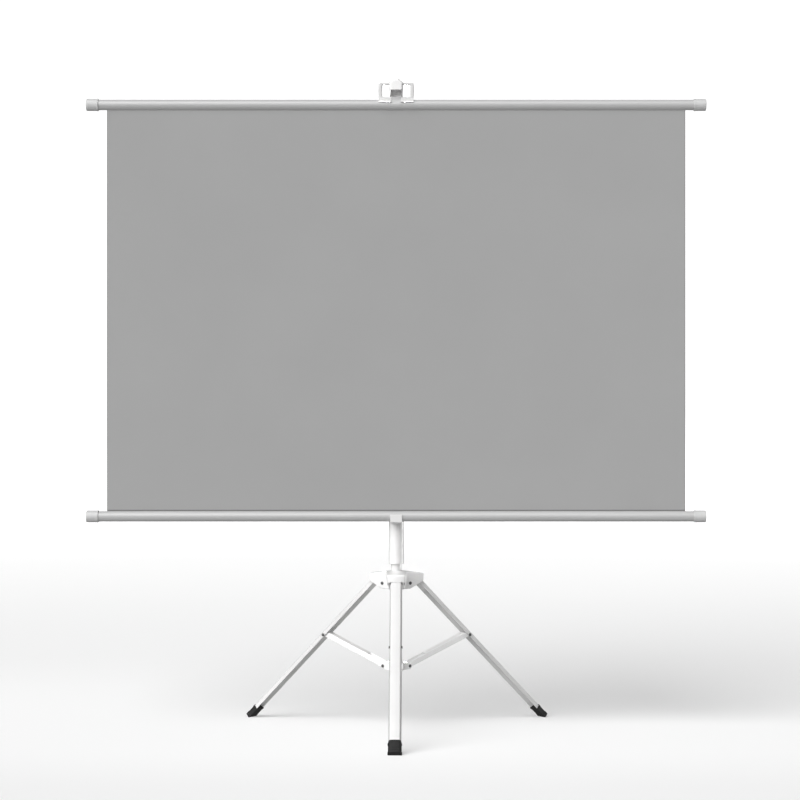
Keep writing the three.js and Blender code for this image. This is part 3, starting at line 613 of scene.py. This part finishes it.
def leg_knuckle():
    width = LEG_WIDTH + 0.4
    crest = LEG_BACK + LEG_DEPTH
    neck = rounded(
        [
            (0, EYE_RADIUS, 3),
            (LEG_BACK + 3, 0, 8),
            (crest - 1, -8, 4),
            (crest - 1, GAP - LEG_TOP, 0.5),
            (LEG_BACK - 3, GAP - LEG_TOP, 0.5),
            (0, -EYE_RADIUS, 3),
        ]
    )
    plug = channel(LEG_WIDTH / 2 - LEG_WALL - GAP, LEG_DEPTH - LEG_WALL - GAP)
    whole = join(
        slab([arc(0, 0, EYE_RADIUS, 0, 354, 59)], width, 1, turn=ALONG_Y),
        slab([neck], width - 0.02, 1, turn=ALONG_Y),
        leg_section(plug, LEG_TOP - 2, LEG_TOP + 30, LEG_BACK, 0.5),
    )
    return cut(whole, lathe(rod_profile(STUD_RADIUS + GAP, -width, width, 0), SMALL_ROUND, ALONG_Y))


def leg_foot():
    top = LEG_REACH - FOOT_LENGTH
    half = LEG_WIDTH / 2 + FOOT_WALL
    depth = LEG_DEPTH + FOOT_WALL + FOOT_BACK
    skin = channel(half, depth, FOOT_ROUND)
    wide = [(x, y * (1 + FOOT_LIP / half)) for x, y in skin]
    rim = [(x + math.copysign(FOOT_LIP, x - depth / 2), y) for x, y in wide]
    sole = [(x + (FOOT_LIP if x > depth / 2 else SKEW), y) for x, y in wide]
    toe = LEG_REACH - TOE_BLUNT
    wall = channel(LEG_WIDTH / 2 + GAP, LEG_DEPTH + 2 * GAP)
    core = channel(LEG_WIDTH / 2 - LEG_WALL - GAP, LEG_DEPTH - LEG_WALL)
    whole = join(
        leg_section(skin, top + 0.6, toe, LEG_BACK - FOOT_BACK, 1.2),
        leg_section(rim, top, top + FOOT_RIM, LEG_BACK - FOOT_BACK, 0.7),
        leg_section(sole, toe - FOOT_SOLE, toe + 0.6, LEG_BACK - FOOT_BACK, 0.7),
    )
    socket = cut(
        leg_section(wall, top - 5, LEG_END + GAP, LEG_BACK - GAP, 0.1),
        leg_section(core, top - 10, LEG_END + 10, LEG_BACK - GAP, 0.1),
    )
    floor_turn = Matrix.Rotation(LEG_TILT, 4, "Y") @ shift(-HUB_PIN_REACH, 0, -hub_pin_z / MM - 50)
    cut(whole, box(2 * LEG_REACH, 2 * LEG_REACH, 100, floor_turn))
    return cut(mould(whole, 0.6, 4), socket)


def turns(angle, steps):
    return [angle * i / steps for i in range(steps + 1)]


def dome(radius, height):
    """Profile of a domed head, from its rim to its crown."""
    return [(radius * math.cos(a), height * math.sin(a)) for a in turns(QUARTER, 8)]


def rivet(radius, grip, head_radius, head_height):
    """Rivet along Y with a domed head at each end."""
    half = grip / 2
    head = dome(head_radius, head_height)
    upper = [(r, half + h) for r, h in head]
    lower = [(r, -half - h) for r, h in reversed(head)]
    return lathe([(radius, -half), (radius, half)] + upper + lower, SMALL_ROUND, ALONG_Y)


def stud(radius, length, head_radius, head_height):
    """Stud along Y with a domed head on the -Y side, the underside of the head at 0."""
    shank = [(0, -length), (radius, -length), (radius, 0)]
    return lathe(shank + dome(head_radius, head_height), SMALL_ROUND, ALONG_Y)


# Hub, about the mast axis at the height of the leg pins
def hub():
    """Moulded hub: three lobes that run into one another, slotted from below for the legs."""
    half = LOBE_WIDTH / 2
    plan = []
    for angle in sorted(leg_turns.values()):
        for side in (-1, 1):
            corner = spin(angle) @ Vector((LOBE_REACH + 3, side * half, 0))
            plan.append((corner.x, corner.y, 6))
        valley = spin(angle + math.pi / 3) @ Vector((half / math.sin(math.pi / 3), 0, 0))
        plan.append((valley.x, valley.y, HUB_FILLET))
    side_view = rounded(
        [
            (0, -LOBE_DROP, 0),
            (HUB_PIN_REACH + 5, -LOBE_DROP, 14),
            (LOBE_REACH, LOBE_LIP, 3),
            (LOBE_REACH, HOOD_RISE - HOOD_FALL, 4),
            (MAST_RADIUS, HOOD_RISE, 4),
            (0, HOOD_RISE, 0),
        ]
    )
    height = HOOD_RISE + LOBE_DROP + 4
    whole = slab([rounded(plan, 10)], height, 0.5, 1, shift(z=(HOOD_RISE - LOBE_DROP) / 2))
    for point in whole.data.vertices:
        point.co.xy *= 1 + HUB_FLARE * point.co.z
    mould(combine(whole, "INTERSECT", lathe(side_view)), 1.0, 8)
    under = LOBE_REACH - (HOOD_ROOM - LOBE_LIP) * math.tan(LEG_TILT)
    back = HUB_PIN_REACH - EYE_RADIUS - 2 * GAP
    slot = [
        (back, -2 * LOBE_DROP),
        (2 * LOBE_REACH, -2 * LOBE_DROP),
        (2 * LOBE_REACH, LOBE_LIP),
        (LOBE_REACH, LOBE_LIP),
        (under, HOOD_ROOM),
        (back, HOOD_ROOM),
    ]
    for angle in leg_turns.values():
        cut(whole, slab([slot], LEG_WIDTH + 1, 0.2, 1, spin(angle) @ ALONG_Y))
    return cut(whole, lathe(rod_profile(MAST_RADIUS + GAP, -2 * HOOD_RISE, 2 * HOOD_RISE, 0)))


# Brace, in a frame with the leg pin as origin and the collar end toward -X
def brace():
    top = BRACE_HEIGHT - BRACE_EDGE
    side = rounded(
        [
            (-BRACE_LENGTH - BRACE_EDGE, -BRACE_EDGE, BRACE_EDGE),
            (BRACE_EDGE, -BRACE_EDGE, BRACE_EDGE),
            (BRACE_EDGE, 0, BRACE_EDGE),
            (-top + 1, top, 3),
            (-BRACE_LENGTH + top - 1, top, 3),
            (-BRACE_LENGTH - BRACE_EDGE, 0, BRACE_EDGE),
        ]
    )
    inner = BRACE_WIDTH - 2 * BRACE_WALL
    hollow = shift(-BRACE_LENGTH / 2, 0, top - BRACE_WALL - BRACE_HEIGHT)
    return cut(
        slab([side], BRACE_WIDTH, 1.1, 4, ALONG_Y),
        box(2 * BRACE_LENGTH, inner, 2 * BRACE_HEIGHT, hollow),
        box(2 * FORK_LENGTH, inner, 4 * BRACE_HEIGHT, shift(-BRACE_LENGTH)),
    )


# Collar, about the mast axis at the height of its pins
def collar():
    half = COLLAR_HEIGHT / 2
    tongue = rounded(
        [
            (2, 1 - half, 0),
            (COLLAR_RADIUS, 1 - half, 2),
            (COLLAR_PIN_REACH + TONGUE_RADIUS, -TONGUE_RADIUS, TONGUE_RADIUS),
            (COLLAR_PIN_REACH + TONGUE_RADIUS, TONGUE_RADIUS, TONGUE_RADIUS),
            (COLLAR_RADIUS, half - 1, 2),
            (2, half - 1, 0),
        ]
    )
    width = BRACE_WIDTH - 2 * BRACE_WALL - 2 * GAP
    whole = lathe(rod_profile(COLLAR_RADIUS, -half, half, 1.5))
    for i, angle in enumerate(leg_turns.values()):
        join(whole, slab([tongue], width, 1.2, 3, shift(z=i * SKEW) @ spin(angle) @ ALONG_Y))
    return cut(whole, lathe(rod_profile(STEM_RADIUS + GAP, -2 * half, 2 * half, 0)))


# Knob along Y, its face toward the mast at 0
def knob():
    lobes = 6
    outline = []
    for i in range(24 * lobes):
        angle = 2 * math.pi * i / (24 * lobes)
        radius = KNOB_RADIUS * (0.93 + 0.07 * math.cos(lobes * angle))
        outline.append((radius * math.cos(angle), radius * math.sin(angle)))
    whole = slab([outline], KNOB_LENGTH, 1.8, 5, ALONG_Y)
    recess = rod_profile(6.5, -KNOB_LENGTH / 2 - 3, -KNOB_LENGTH / 2 + 1.2, 1)
    return cut(whole, lathe(recess, SMALL_ROUND, ALONG_Y))


# Screen tube along X with its slot facing up or down, and its end caps
def slotted_tube(length, up):
    bore = SCREEN_TUBE_RADIUS - SCREEN_TUBE_WALL
    outer = math.degrees(math.asin(SCREEN_TUBE_SLOT / 2 / SCREEN_TUBE_RADIUS))
    inner = math.degrees(math.asin(SCREEN_TUBE_SLOT / 2 / bore))
    slot = 90 * up
    outline = arc(0, 0, SCREEN_TUBE_RADIUS, slot + outer, slot + 360 - outer, 72)
    outline += arc(0, 0, bore, slot + 360 - inner, slot + inner, 72)
    return slab([outline], length, 0.2, 1, ALONG_X)


def end_cap(length):
    """Cap about X, open toward -X, its closed end at 0."""
    bore = SCREEN_TUBE_RADIUS + GAP
    profile = rounded(
        [
            (0, 0, 0),
            (0, -CAP_END, 0),
            (bore, -CAP_END, 0.5),
            (bore, -length, 0.3),
            (CAP_RADIUS + 0.4, -length, 0.5),
            (CAP_RADIUS + 0.4, 3 - length, 0.5),
            (CAP_RADIUS, 3.6 - length, 0.5),
            (CAP_RADIUS, 0, 3),
            (8.6, 0, 0.4),
            (8.0, -0.6, 0.4),
        ],
        5,
    )
    profile[0] = (0, -0.6)
    return lathe(profile, ROUND, Matrix.Rotation(QUARTER, 4, "Y"))


# Hook, about the axis of the bottom tube
def lower_hook():
    outer = HOOK_ROOM + HOOK_THICKNESS
    bend = HOOK_ROOM - HOOK_BEND
    crook = HOOK_BEND + HOOK_THICKNESS
    outline = [(outer, HOOK_BACK), (HOOK_ROOM, HOOK_BACK)]
    outline += arc(bend, -bend, HOOK_BEND, 0, -90) + arc(-bend, -bend, HOOK_BEND, -90, -180)
    outline += [(-HOOK_ROOM, HOOK_LIP), (-outer, HOOK_LIP)]
    outline += arc(-bend, -bend, crook, 180, 270) + arc(bend, -bend, crook, 270, 360)
    return slab([outline], HOOK_WIDTH, 0.6, 3, ALONG_X)


# Head of the mast, about the axis of the top tube in height and the mast in plan
def mast_head():
    """Socket on the upper tube with a hollow nose that reaches through the bail and hooks over it."""
    reach = (mast_foot.y - top_axis.y) / MM + BAIL_DEPTH / 2 + 2 * GAP
    front = reach + NOSE_DEPTH
    low = HEAD_TOP - ARM_HEIGHT
    half = NOSE_WIDTH / 2
    peak = BAIL_TOP + NOSE_RISE
    shell = rounded(
        [
            (NOSE_TAPER - half, CHEEK_LOW, NOSE_EDGE + 0.5),
            (half - NOSE_TAPER, CHEEK_LOW, NOSE_EDGE + 0.5),
            (half, low + 4, 20),
            (half, BAIL_TOP, NOSE_EDGE + 0.5),
            (NOSE_FLAT / 2, peak, NOSE_EDGE + 1),
            (-NOSE_FLAT / 2, peak, NOSE_EDGE + 1),
            (-half, BAIL_TOP, NOSE_EDGE + 0.5),
            (-half, low + 4, 20),
        ]
    )
    behind = shift(0, 50 - reach, HEAD_TOP - SKEW + 50)
    recess = shift(0, -front, low - 50)
    nose = cut(
        slab([shell], front, NOSE_EDGE, 8, shift(0, -front / 2) @ ALONG_Y),
        box(100, 100, 100, behind),
        box(NOSE_WIDTH - 2 * HEAD_CHEEK, 2 * RECESS_DEPTH, 100, recess),
    )
    whole = join(lathe(rod_profile(HEAD_RADIUS, -HEAD_BELOW, HEAD_TOP, 1.5)), nose)
    bore = rod_profile(UPPER_RADIUS + GAP, -2 * HEAD_BELOW, low - 10 + GAP, 0)
    return cut(whole, lathe(bore))


def bail():
    """Flat ring with two wings that saddle the top tube beside the clip."""
    half = BAIL_WIDTH / 2
    foot = BAIL_FOOT + GAP
    waist = (foot + BAIL_TOP) / 2
    outer = rounded(
        [
            (-half, foot, 2.5),
            (half, foot, 2.5),
            (half + BAIL_BULGE, waist, 60),
            (half, BAIL_TOP, BAIL_CORNER),
            (-half, BAIL_TOP, BAIL_CORNER),
            (-half - BAIL_BULGE, waist, 60),
        ]
    )
    open_half = half - BAIL_SIDE
    low = BAIL_FOOT + BAIL_BAR
    window = rounded(
        [
            (-open_half, low + BAIL_SPLAY, 1.5),
            (-CLIP_WIDTH / 2, low, 3),
            (CLIP_WIDTH / 2, low, 3),
            (open_half, low + BAIL_SPLAY, 1.5),
            (open_half, BAIL_TOP - BAIL_BAR, 2),
            (-open_half, BAIL_TOP - BAIL_BAR, 2),
        ]
    )
    whole = slab([outer, window], BAIL_DEPTH, BAIL_EDGE, 6, ALONG_Y)
    wing = arc(0, 0, BAIL_FOOT + SADDLE_WALL, 0, 180, 40) + arc(0, 0, BAIL_FOOT, 180, 0, 40)
    wing_width = half - CLIP_WIDTH / 2 - GAP
    span = half + 2
    below = [(-span, -BAIL_TOP), (span, -BAIL_TOP)]
    for i in range(25):
        angle = math.pi * i / 24
        below.append((span * math.cos(angle), SADDLE_EDGE - SADDLE_DIP * math.sin(angle)))
    for side in (-1, 1):
        place = shift(side * (half - wing_width / 2 - SKEW)) @ ALONG_X
        saddle = cut(
            slab([wing], wing_width, 0.4, 2, place),
            slab([below], BAIL_WIDTH, 0.1, 1, ALONG_Y),
        )
        join(whole, saddle)
    return whole


def bail_clip():
    """Strap round the top tube and over the foot bar of the bail."""
    inner = SCREEN_TUBE_RADIUS + GAP
    outer = inner + CLIP_THICKNESS
    strap = arc(0, 0, outer, -CLIP_WRAP, 180 + CLIP_WRAP, 48)
    strap += arc(0, 0, inner, 180 + CLIP_WRAP, -CLIP_WRAP, 48)
    bar_top = BAIL_FOOT + BAIL_BAR + GAP
    top = bar_top + CLIP_THICKNESS
    bar_half = BAIL_DEPTH / 2 + GAP
    half = bar_half + CLIP_THICKNESS
    saddle = rounded([(-half, 0, 0), (half, 0, 0), (half, top, 0.8), (-half, top, 0.8)])
    whole = join(
        slab([strap], CLIP_WIDTH, 0.2, 2, ALONG_X),
        slab([saddle], CLIP_WIDTH - SKEW, 0.2, 2, ALONG_X),
    )
    return cut(
        whole,
        lathe(rod_profile(inner, -CLIP_WIDTH, CLIP_WIDTH, 0), ROUND, Matrix.Rotation(QUARTER, 4, "Y")),
        box(2 * CLIP_WIDTH, 2 * bar_half, 2 * bar_top),
    )


def sheet():
    """Sheet with a front and a back, divided so that it can bend."""
    low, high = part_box("screen_sheet")
    columns, rows = 61, 43
    form = bmesh.new()
    sides = []
    for y in (low.y, high.y):
        grid = []
        for i in range(columns):
            x = low.x + (high.x - low.x) * i / (columns - 1)
            heights = [low.z + (high.z - low.z) * k / (rows - 1) for k in range(rows)]
            grid.append([form.verts.new((x, y, z)) for z in heights])
        sides.append(grid)
    for side, grid in enumerate(sides):
        for i in range(columns - 1):
            for k in range(rows - 1):
                face = form.faces.new((grid[i][k], grid[i + 1][k], grid[i + 1][k + 1], grid[i][k + 1]))
                face.material_index = side
    front, back = sides
    rim = [(i, 0) for i in range(columns)] + [(columns - 1, k) for k in range(1, rows)]
    rim += [(i, rows - 1) for i in range(columns - 2, -1, -1)] + [(0, k) for k in range(rows - 2, 0, -1)]
    for (i, k), (j, m) in zip(rim, rim[1:] + rim[:1]):
        form.faces.new((front[i][k], front[j][m], back[j][m], back[i][k]))
    bmesh.ops.recalc_face_normals(form, faces=form.faces)
    mesh = bpy.data.meshes.new("screen_sheet_shape")
    form.to_mesh(mesh)
    form.free()
    return new_object("screen_sheet_shape", mesh)


# Stand
at_hub = at(Vector((mast_foot.x, mast_foot.y, hub_pin_z)))
dress(hub(), "tripod_hub", "white_plastic", at_hub, 0.3)
brace_reach = (Vector(joints["brace_front_fold"]["pos_m"]) - mast_foot).to_2d().length / MM
slope = math.acos((brace_reach - COLLAR_PIN_REACH) / BRACE_LENGTH)
for name in leg_joints:
    turn = spin(leg_turns[name])
    pin = Vector(leg_joints[name]["pos_m"])
    leg = at(pin) @ turn @ Matrix.Rotation(-LEG_TILT, 4, "Y")
    dress(leg_channel(), f"leg_{name}_channel", "white_metal", leg)
    dress(leg_knuckle(), f"leg_{name}_knuckle", "white_plastic", leg, 0.3)
    dress(leg_foot(), f"leg_{name}_foot", "black_rubber", leg, 0.3)
    brace_pin = leg @ shift(LEG_BACK + BRACE_PIN_DEPTH, 0, -BRACE_DOWN)
    fastener = rivet(RIVET_RADIUS, LEG_WIDTH + 2 * GAP, RIVET_HEAD, RIVET_DOME)
    dress(fastener, f"leg_{name}_brace_rivet", "dark_steel", brace_pin)
    fastener = rivet(STUD_RADIUS, LOBE_WIDTH + 2 * GAP, PIN_HEAD, PIN_DOME)
    dress(fastener, f"hub_{name}_pin", "dark_steel", at(pin) @ turn)
    arm = at(Vector(joints[f"brace_{name}_fold"]["pos_m"])) @ turn @ Matrix.Rotation(-slope, 4, "Y")
    bar = dress(brace(), f"brace_{name}", "white_metal", arm, 0.25)
    # Painted light: the brace takes the lighter copy of the white paint
    bar.data.materials[0] = brace_painted_light
    for side, letter in ((-1, "a"), (1, "b")):
        place = arm @ shift(-BRACE_LENGTH, side * (BRACE_WIDTH / 2 + GAP)) @ spin(math.pi if side > 0 else 0)
        fastener = stud(RIVET_RADIUS, BRACE_WALL + GAP, RIVET_HEAD, RIVET_DOME)
        dress(fastener, f"brace_{name}_stud_{letter}", "dark_steel", place)

at_mast = at(mast_foot)
for node, outer, inner, slot in (
    ("stem_tube", STEM_RADIUS, STEM_RADIUS - TUBE_WALL, "white_metal"),
    ("mast_tube_lower", MAST_RADIUS, MAST_RADIUS - TUBE_WALL, "white_metal"),
    ("mast_tube_upper", UPPER_RADIUS, UPPER_RADIUS - TUBE_WALL, "white_metal"),
    ("hook_sleeve", SLEEVE_RADIUS, MAST_RADIUS + GAP, "white_plastic"),
):
    low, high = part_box(node)
    edge = min(1.2, (outer - inner) / 3)
    dress(lathe(tube_profile(outer, inner, low.z / MM, high.z / MM, edge)), node, slot, at_mast)
dress(collar(), "brace_collar", "white_plastic", at(Vector((mast_foot.x, mast_foot.y, collar_z))), 0.3)

low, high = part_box("stem_end_plug")
plug_face = low.z / MM + PLUG_HEAD
dress(
    lathe(
        rounded(
            [
                (0, low.z / MM, 0),
                (STEM_RADIUS + 1, low.z / MM, 1),
                (STEM_RADIUS + 1, plug_face, 0.5),
                (STEM_RADIUS - TUBE_WALL - GAP, plug_face, 0),
                (STEM_RADIUS - TUBE_WALL - GAP, high.z / MM, 0.6),
                (0, high.z / MM, 0),
            ]
        )
    ),
    "stem_end_plug",
    "black_plastic",
    at_mast,
)
low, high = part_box("mast_bush")
flange = low.z / MM + PLUG_HEAD
bush_radius = MAST_RADIUS - TUBE_WALL - GAP
dress(
    lathe(
        rounded(
            [
                (STEM_RADIUS + GAP, low.z / MM, 0.5),
                (MAST_RADIUS, low.z / MM, 0.8),
                (MAST_RADIUS, flange, 0.4),
                (bush_radius, flange, 0),
                (bush_radius, high.z / MM, 0.5),
                (STEM_RADIUS + GAP, high.z / MM, 0.5),
            ]
        )
    ),
    "mast_bush",
    "nylon",
    at_mast,
)
low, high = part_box("mast_clamp")
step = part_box("mast_tube_lower")[1].z / MM + GAP
dress(
    lathe(
        rounded(
            [
                (MAST_RADIUS + GAP, low.z / MM, 0.5),
                (CLAMP_RADIUS, low.z / MM, 1.2),
                (CLAMP_RADIUS, step - 3, 0.4),
                (CLAMP_RADIUS - CLAMP_GROOVE, step - 2.4, 0.4),
                (CLAMP_RADIUS - CLAMP_GROOVE, step - 0.6, 0.4),
                (CLAMP_RADIUS, step, 0.4),
                (CLAMP_RADIUS, high.z / MM, 2),
                (UPPER_RADIUS + GAP, high.z / MM, 0.5),
                (UPPER_RADIUS + GAP, step, 0),
                (MAST_RADIUS + GAP, step, 0),
            ]
        )
    ),
    "mast_clamp",
    "black_plastic",
    at_mast,
)
for node in ("sleeve", "clamp"):
    dress(knob(), f"{node}_knob", "black_plastic", at(middle(f"{node}_knob")), 0.3)
    length = (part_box(f"{node}_stud")[1].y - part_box(f"{node}_stud")[0].y) / MM
    rod = rod_profile(STUD_RADIUS, -length / 2, length / 2, 0.6)
    dress(lathe(rod, SMALL_ROUND, ALONG_Y), f"{node}_stud", "bright_steel", at(middle(f"{node}_stud")))

at_head = at(Vector((mast_foot.x, mast_foot.y, top_axis.z)))
dress(mast_head(), "mast_head", "white_plastic", at_head, 0.3)
dress(
    rivet(SCREW_RADIUS, 2 * HEAD_RADIUS + 2 * GAP, RIVET_HEAD, RIVET_DOME),
    "mast_head_rivet",
    "bright_steel",
    at(middle("mast_head_rivet")) @ spin(QUARTER),
)
dress(lower_hook(), "lower_hook", "white_metal", at(bottom_axis))
for i in (1, 2):
    node = f"lower_hook_screw_{i}"
    face = at(middle(node))
    low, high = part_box(node)
    face.translation.y = low.y + SCREW_DOME * MM
    length = (high.y - low.y) / MM - SCREW_DOME
    crown = shift(0, -SCREW_DOME)
    head = cut(
        stud(SCREW_RADIUS, length, RIVET_HEAD, SCREW_DOME),
        box(SCREW_SLOT, 2, 8, crown),
        box(8, 2, SCREW_SLOT, crown),
    )
    dress(head, node, "bright_steel", face)

# Screen
for name, axis, up in (("top", top_axis, -1), ("bottom", bottom_axis, 1)):
    low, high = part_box(f"{name}_tube")
    dress(slotted_tube((high.x - low.x) / MM, up), f"{name}_tube", "grey_tube", at(axis))
    for side, word in ((-1, "left"), (1, "right")):
        low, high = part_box(f"{name}_cap_{word}")
        end = Vector((high.x if side > 0 else low.x, axis.y, axis.z))
        place = at(end) @ spin(math.pi if side < 0 else 0)
        dress(end_cap((high.x - low.x) / MM), f"{name}_cap_{word}", "grey_cap", place)
    # The tube's shadow would darken the sheet beside it, which is evenly lit
    bpy.data.objects[f"{name}_tube_shape"].visible_shadow = False
    spline = frame["nodes"][f"{name}_spline"]
    spline.data.materials.clear()
    spline.data.materials.append(finishes["nylon"])
loop = dress(bail(), "bail", "white_metal", at(top_axis), 0.2)
loop.data.materials[0] = bail_paint
clip = dress(bail_clip(), "bail_clip", "grey_tube", at(top_axis), 0.15)
clip.visible_shadow = False  # for the same reason as the tubes

cloth = sheet()
cloth.data.materials.append(finishes["grey_sheet"])
cloth.data.materials.append(sheet_back)
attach(cloth, "base")
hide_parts("screen_sheet")
low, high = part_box("screen_sheet")
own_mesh(cloth)


# Pale floor with a wall all round, which the light passes
FLOOR_TONE = 0.70
FLOOR_FRONT = -0.7  # where painted shade makes the floor a little darker, toward the camera
FLOOR_GLOWS = ((0, 1), (0.436, 0.275), (0.543, 0.31), (0.639, 0.262), (1, 0.34))  # painted light: the floor's glow, in steps from front to back
WALL_GLOW = 0.74  # of the wall above that of the floor
FLOOR_RADIUS = 5.5
WALL_BEND = 2.5
WALL_HEIGHT = 9.0


def tones(tree, factor, stops):
    """Grey that follows a factor through (position, level) stops."""
    made = tree.nodes.new("ShaderNodeValToRGB")
    made.color_ramp.interpolation = "EASE"
    while len(made.color_ramp.elements) < len(stops):
        made.color_ramp.elements.new(0.5)
    for element, (position, level) in zip(made.color_ramp.elements, stops):
        element.position = position
        element.color = (level, level, level, 1)
    tree.links.new(factor, made.inputs["Fac"])
    return made.outputs["Color"]


def ranged(tree, value, low, high):
    """Factor that goes from 0 to 1 as a value goes from low to high."""
    made = tree.nodes.new("ShaderNodeMapRange")
    made.inputs["From Min"].default_value = low
    made.inputs["From Max"].default_value = high
    tree.links.new(value, made.inputs["Value"])
    return made.outputs["Result"]


def multiplied(tree, first, second):
    made = tree.nodes.new("ShaderNodeMix")
    made.data_type = "RGBA"
    made.blend_type = "MULTIPLY"
    made.inputs["Factor"].default_value = 1
    tree.links.new(first, made.inputs["A"])
    tree.links.new(second, made.inputs["B"])
    return made.outputs["Result"]


def along(tree, vector, axis):
    split = tree.nodes.new("ShaderNodeSeparateXYZ")
    tree.links.new(vector, split.inputs["Vector"])
    return split.outputs[axis]


def floor_finish():
    """White paper with a glow that grows up the wall; along the floor the glow is painted light that changes
    from front to back, with painted shade toward the camera.
    """
    made, tree, surface = shader("floor")
    vector = coordinates(tree)
    height = ranged(tree, along(tree, vector, "Z"), 0, WALL_BEND)
    # Painted shade: the floor a little darker toward the camera
    near = ranged(tree, along(tree, vector, "Y"), FLOOR_FRONT, FLOOR_FRONT + 0.5)
    front = tones(tree, near, ((0, 0.93 * FLOOR_TONE), (1, FLOOR_TONE)))
    foot = tones(tree, height, ((0, 1), (0.3, 0.03)))
    tree.links.new(multiplied(tree, front, foot), surface.inputs["Base Color"])
    # Painted light: the glow of the floor changes in steps from front to back
    depth = ranged(tree, along(tree, vector, "Y"), -FLOOR_RADIUS, FLOOR_RADIUS)
    glow = tones(tree, depth, FLOOR_GLOWS)
    rise = tones(tree, height, ((0, 0), (0.1, 0.8 * WALL_GLOW), (0.3, WALL_GLOW)))
    tree.links.new(calculated(tree, "ADD", glow, rise), surface.inputs["Emission Strength"])
    surface.inputs["Emission Color"].default_value = (1, 1, 1, 1)
    surface.inputs["Roughness"].default_value = 0.8
    surface.inputs["Specular IOR Level"].default_value = 0
    return made


def stage():
    """Round floor that bends up into a wall."""
    rises = turns(QUARTER, 16)
    bend = [(FLOOR_RADIUS + WALL_BEND * math.sin(a), WALL_BEND * (1 - math.cos(a))) for a in rises]
    line = [(0, 0), (FLOOR_RADIUS / 2, 0), *bend, (FLOOR_RADIUS + WALL_BEND, WALL_HEIGHT)]
    sides = 96
    angles = turns(2 * math.pi, sides)[:-1]
    points = [(r * math.cos(a), r * math.sin(a), z) for r, z in line for a in angles]
    faces = []
    for ring in range(len(line) - 1):
        for i in range(sides):
            here, after = ring * sides + i, ring * sides + (i + 1) % sides
            faces.append((here, after, after + sides, here + sides))
    mesh = bpy.data.meshes.new("floor")
    mesh.from_pydata(points, [], faces)
    made = new_object("floor", mesh)
    mesh.shade_smooth()
    mesh.materials.append(floor_finish())
    made.visible_diffuse = False
    made.visible_glossy = False
    made.visible_shadow = False


def sun(name, toward, power, softness):
    """Soft light from a direction, even over the whole object."""
    data = bpy.data.lights.new(name, "SUN")
    data.energy = power
    data.angle = math.radians(softness)
    made = bpy.data.objects.new(name, data)
    made.rotation_euler = Vector(toward).to_track_quat("Z", "Y").to_euler()
    made.location = Vector(toward) * 4
    bpy.context.scene.collection.objects.link(made)


def studio_world():
    """Pale room, dark behind the object, so that its outline stands out from the wall."""
    made = bpy.data.worlds.new("studio")
    made.use_nodes = True
    tree = made.node_tree
    vector = tree.nodes.new("ShaderNodeTexCoord").outputs["Generated"]
    height = ranged(tree, along(tree, vector, "Z"), -1, 1)
    room = tones(tree, height, ((0.0, 0.75), (0.5, 0.25), (1.0, 0.24)))
    depth = ranged(tree, along(tree, vector, "Y"), -1, 1)
    back = tones(tree, depth, ((0.0, 1.0), (0.5, 0.75), (0.8, 0.06)))
    tree.links.new(multiplied(tree, room, back), tree.nodes["Background"].inputs["Color"])
    return made


stage()
sun("key", (-0.46, -0.62, 0.635), 3.8, 60)
sun("rim", (0.88, 0.30, -0.15), 1.0, 15)
sun("fill", (-0.90, -0.10, -0.30), 0.35, 30)
sun("back", (0, 0.99, -0.08), 2.2, 5)
bpy.context.scene.world = studio_world()
bpy.context.scene.view_settings.view_transform = "Standard"

# Camera
CAMERA_HEIGHT = 0.689
CAMERA_DISTANCE = 4.822  # from the mast axis
CAMERA_SIDE = 0.040
CAMERA_LENS = 102.2
CAMERA_SHIFT = (-0.0189, 0.005)
camera_data = bpy.data.cameras.new("camera")
camera_data.sensor_width = 36
camera_data.lens = CAMERA_LENS
camera_data.shift_x, camera_data.shift_y = CAMERA_SHIFT
camera = bpy.data.objects.new("camera", camera_data)
camera.location = (CAMERA_SIDE, mast_foot.y - CAMERA_DISTANCE, CAMERA_HEIGHT)
camera.rotation_euler = (QUARTER, 0, 0)
bpy.context.scene.collection.objects.link(camera)
bpy.context.scene.camera = camera
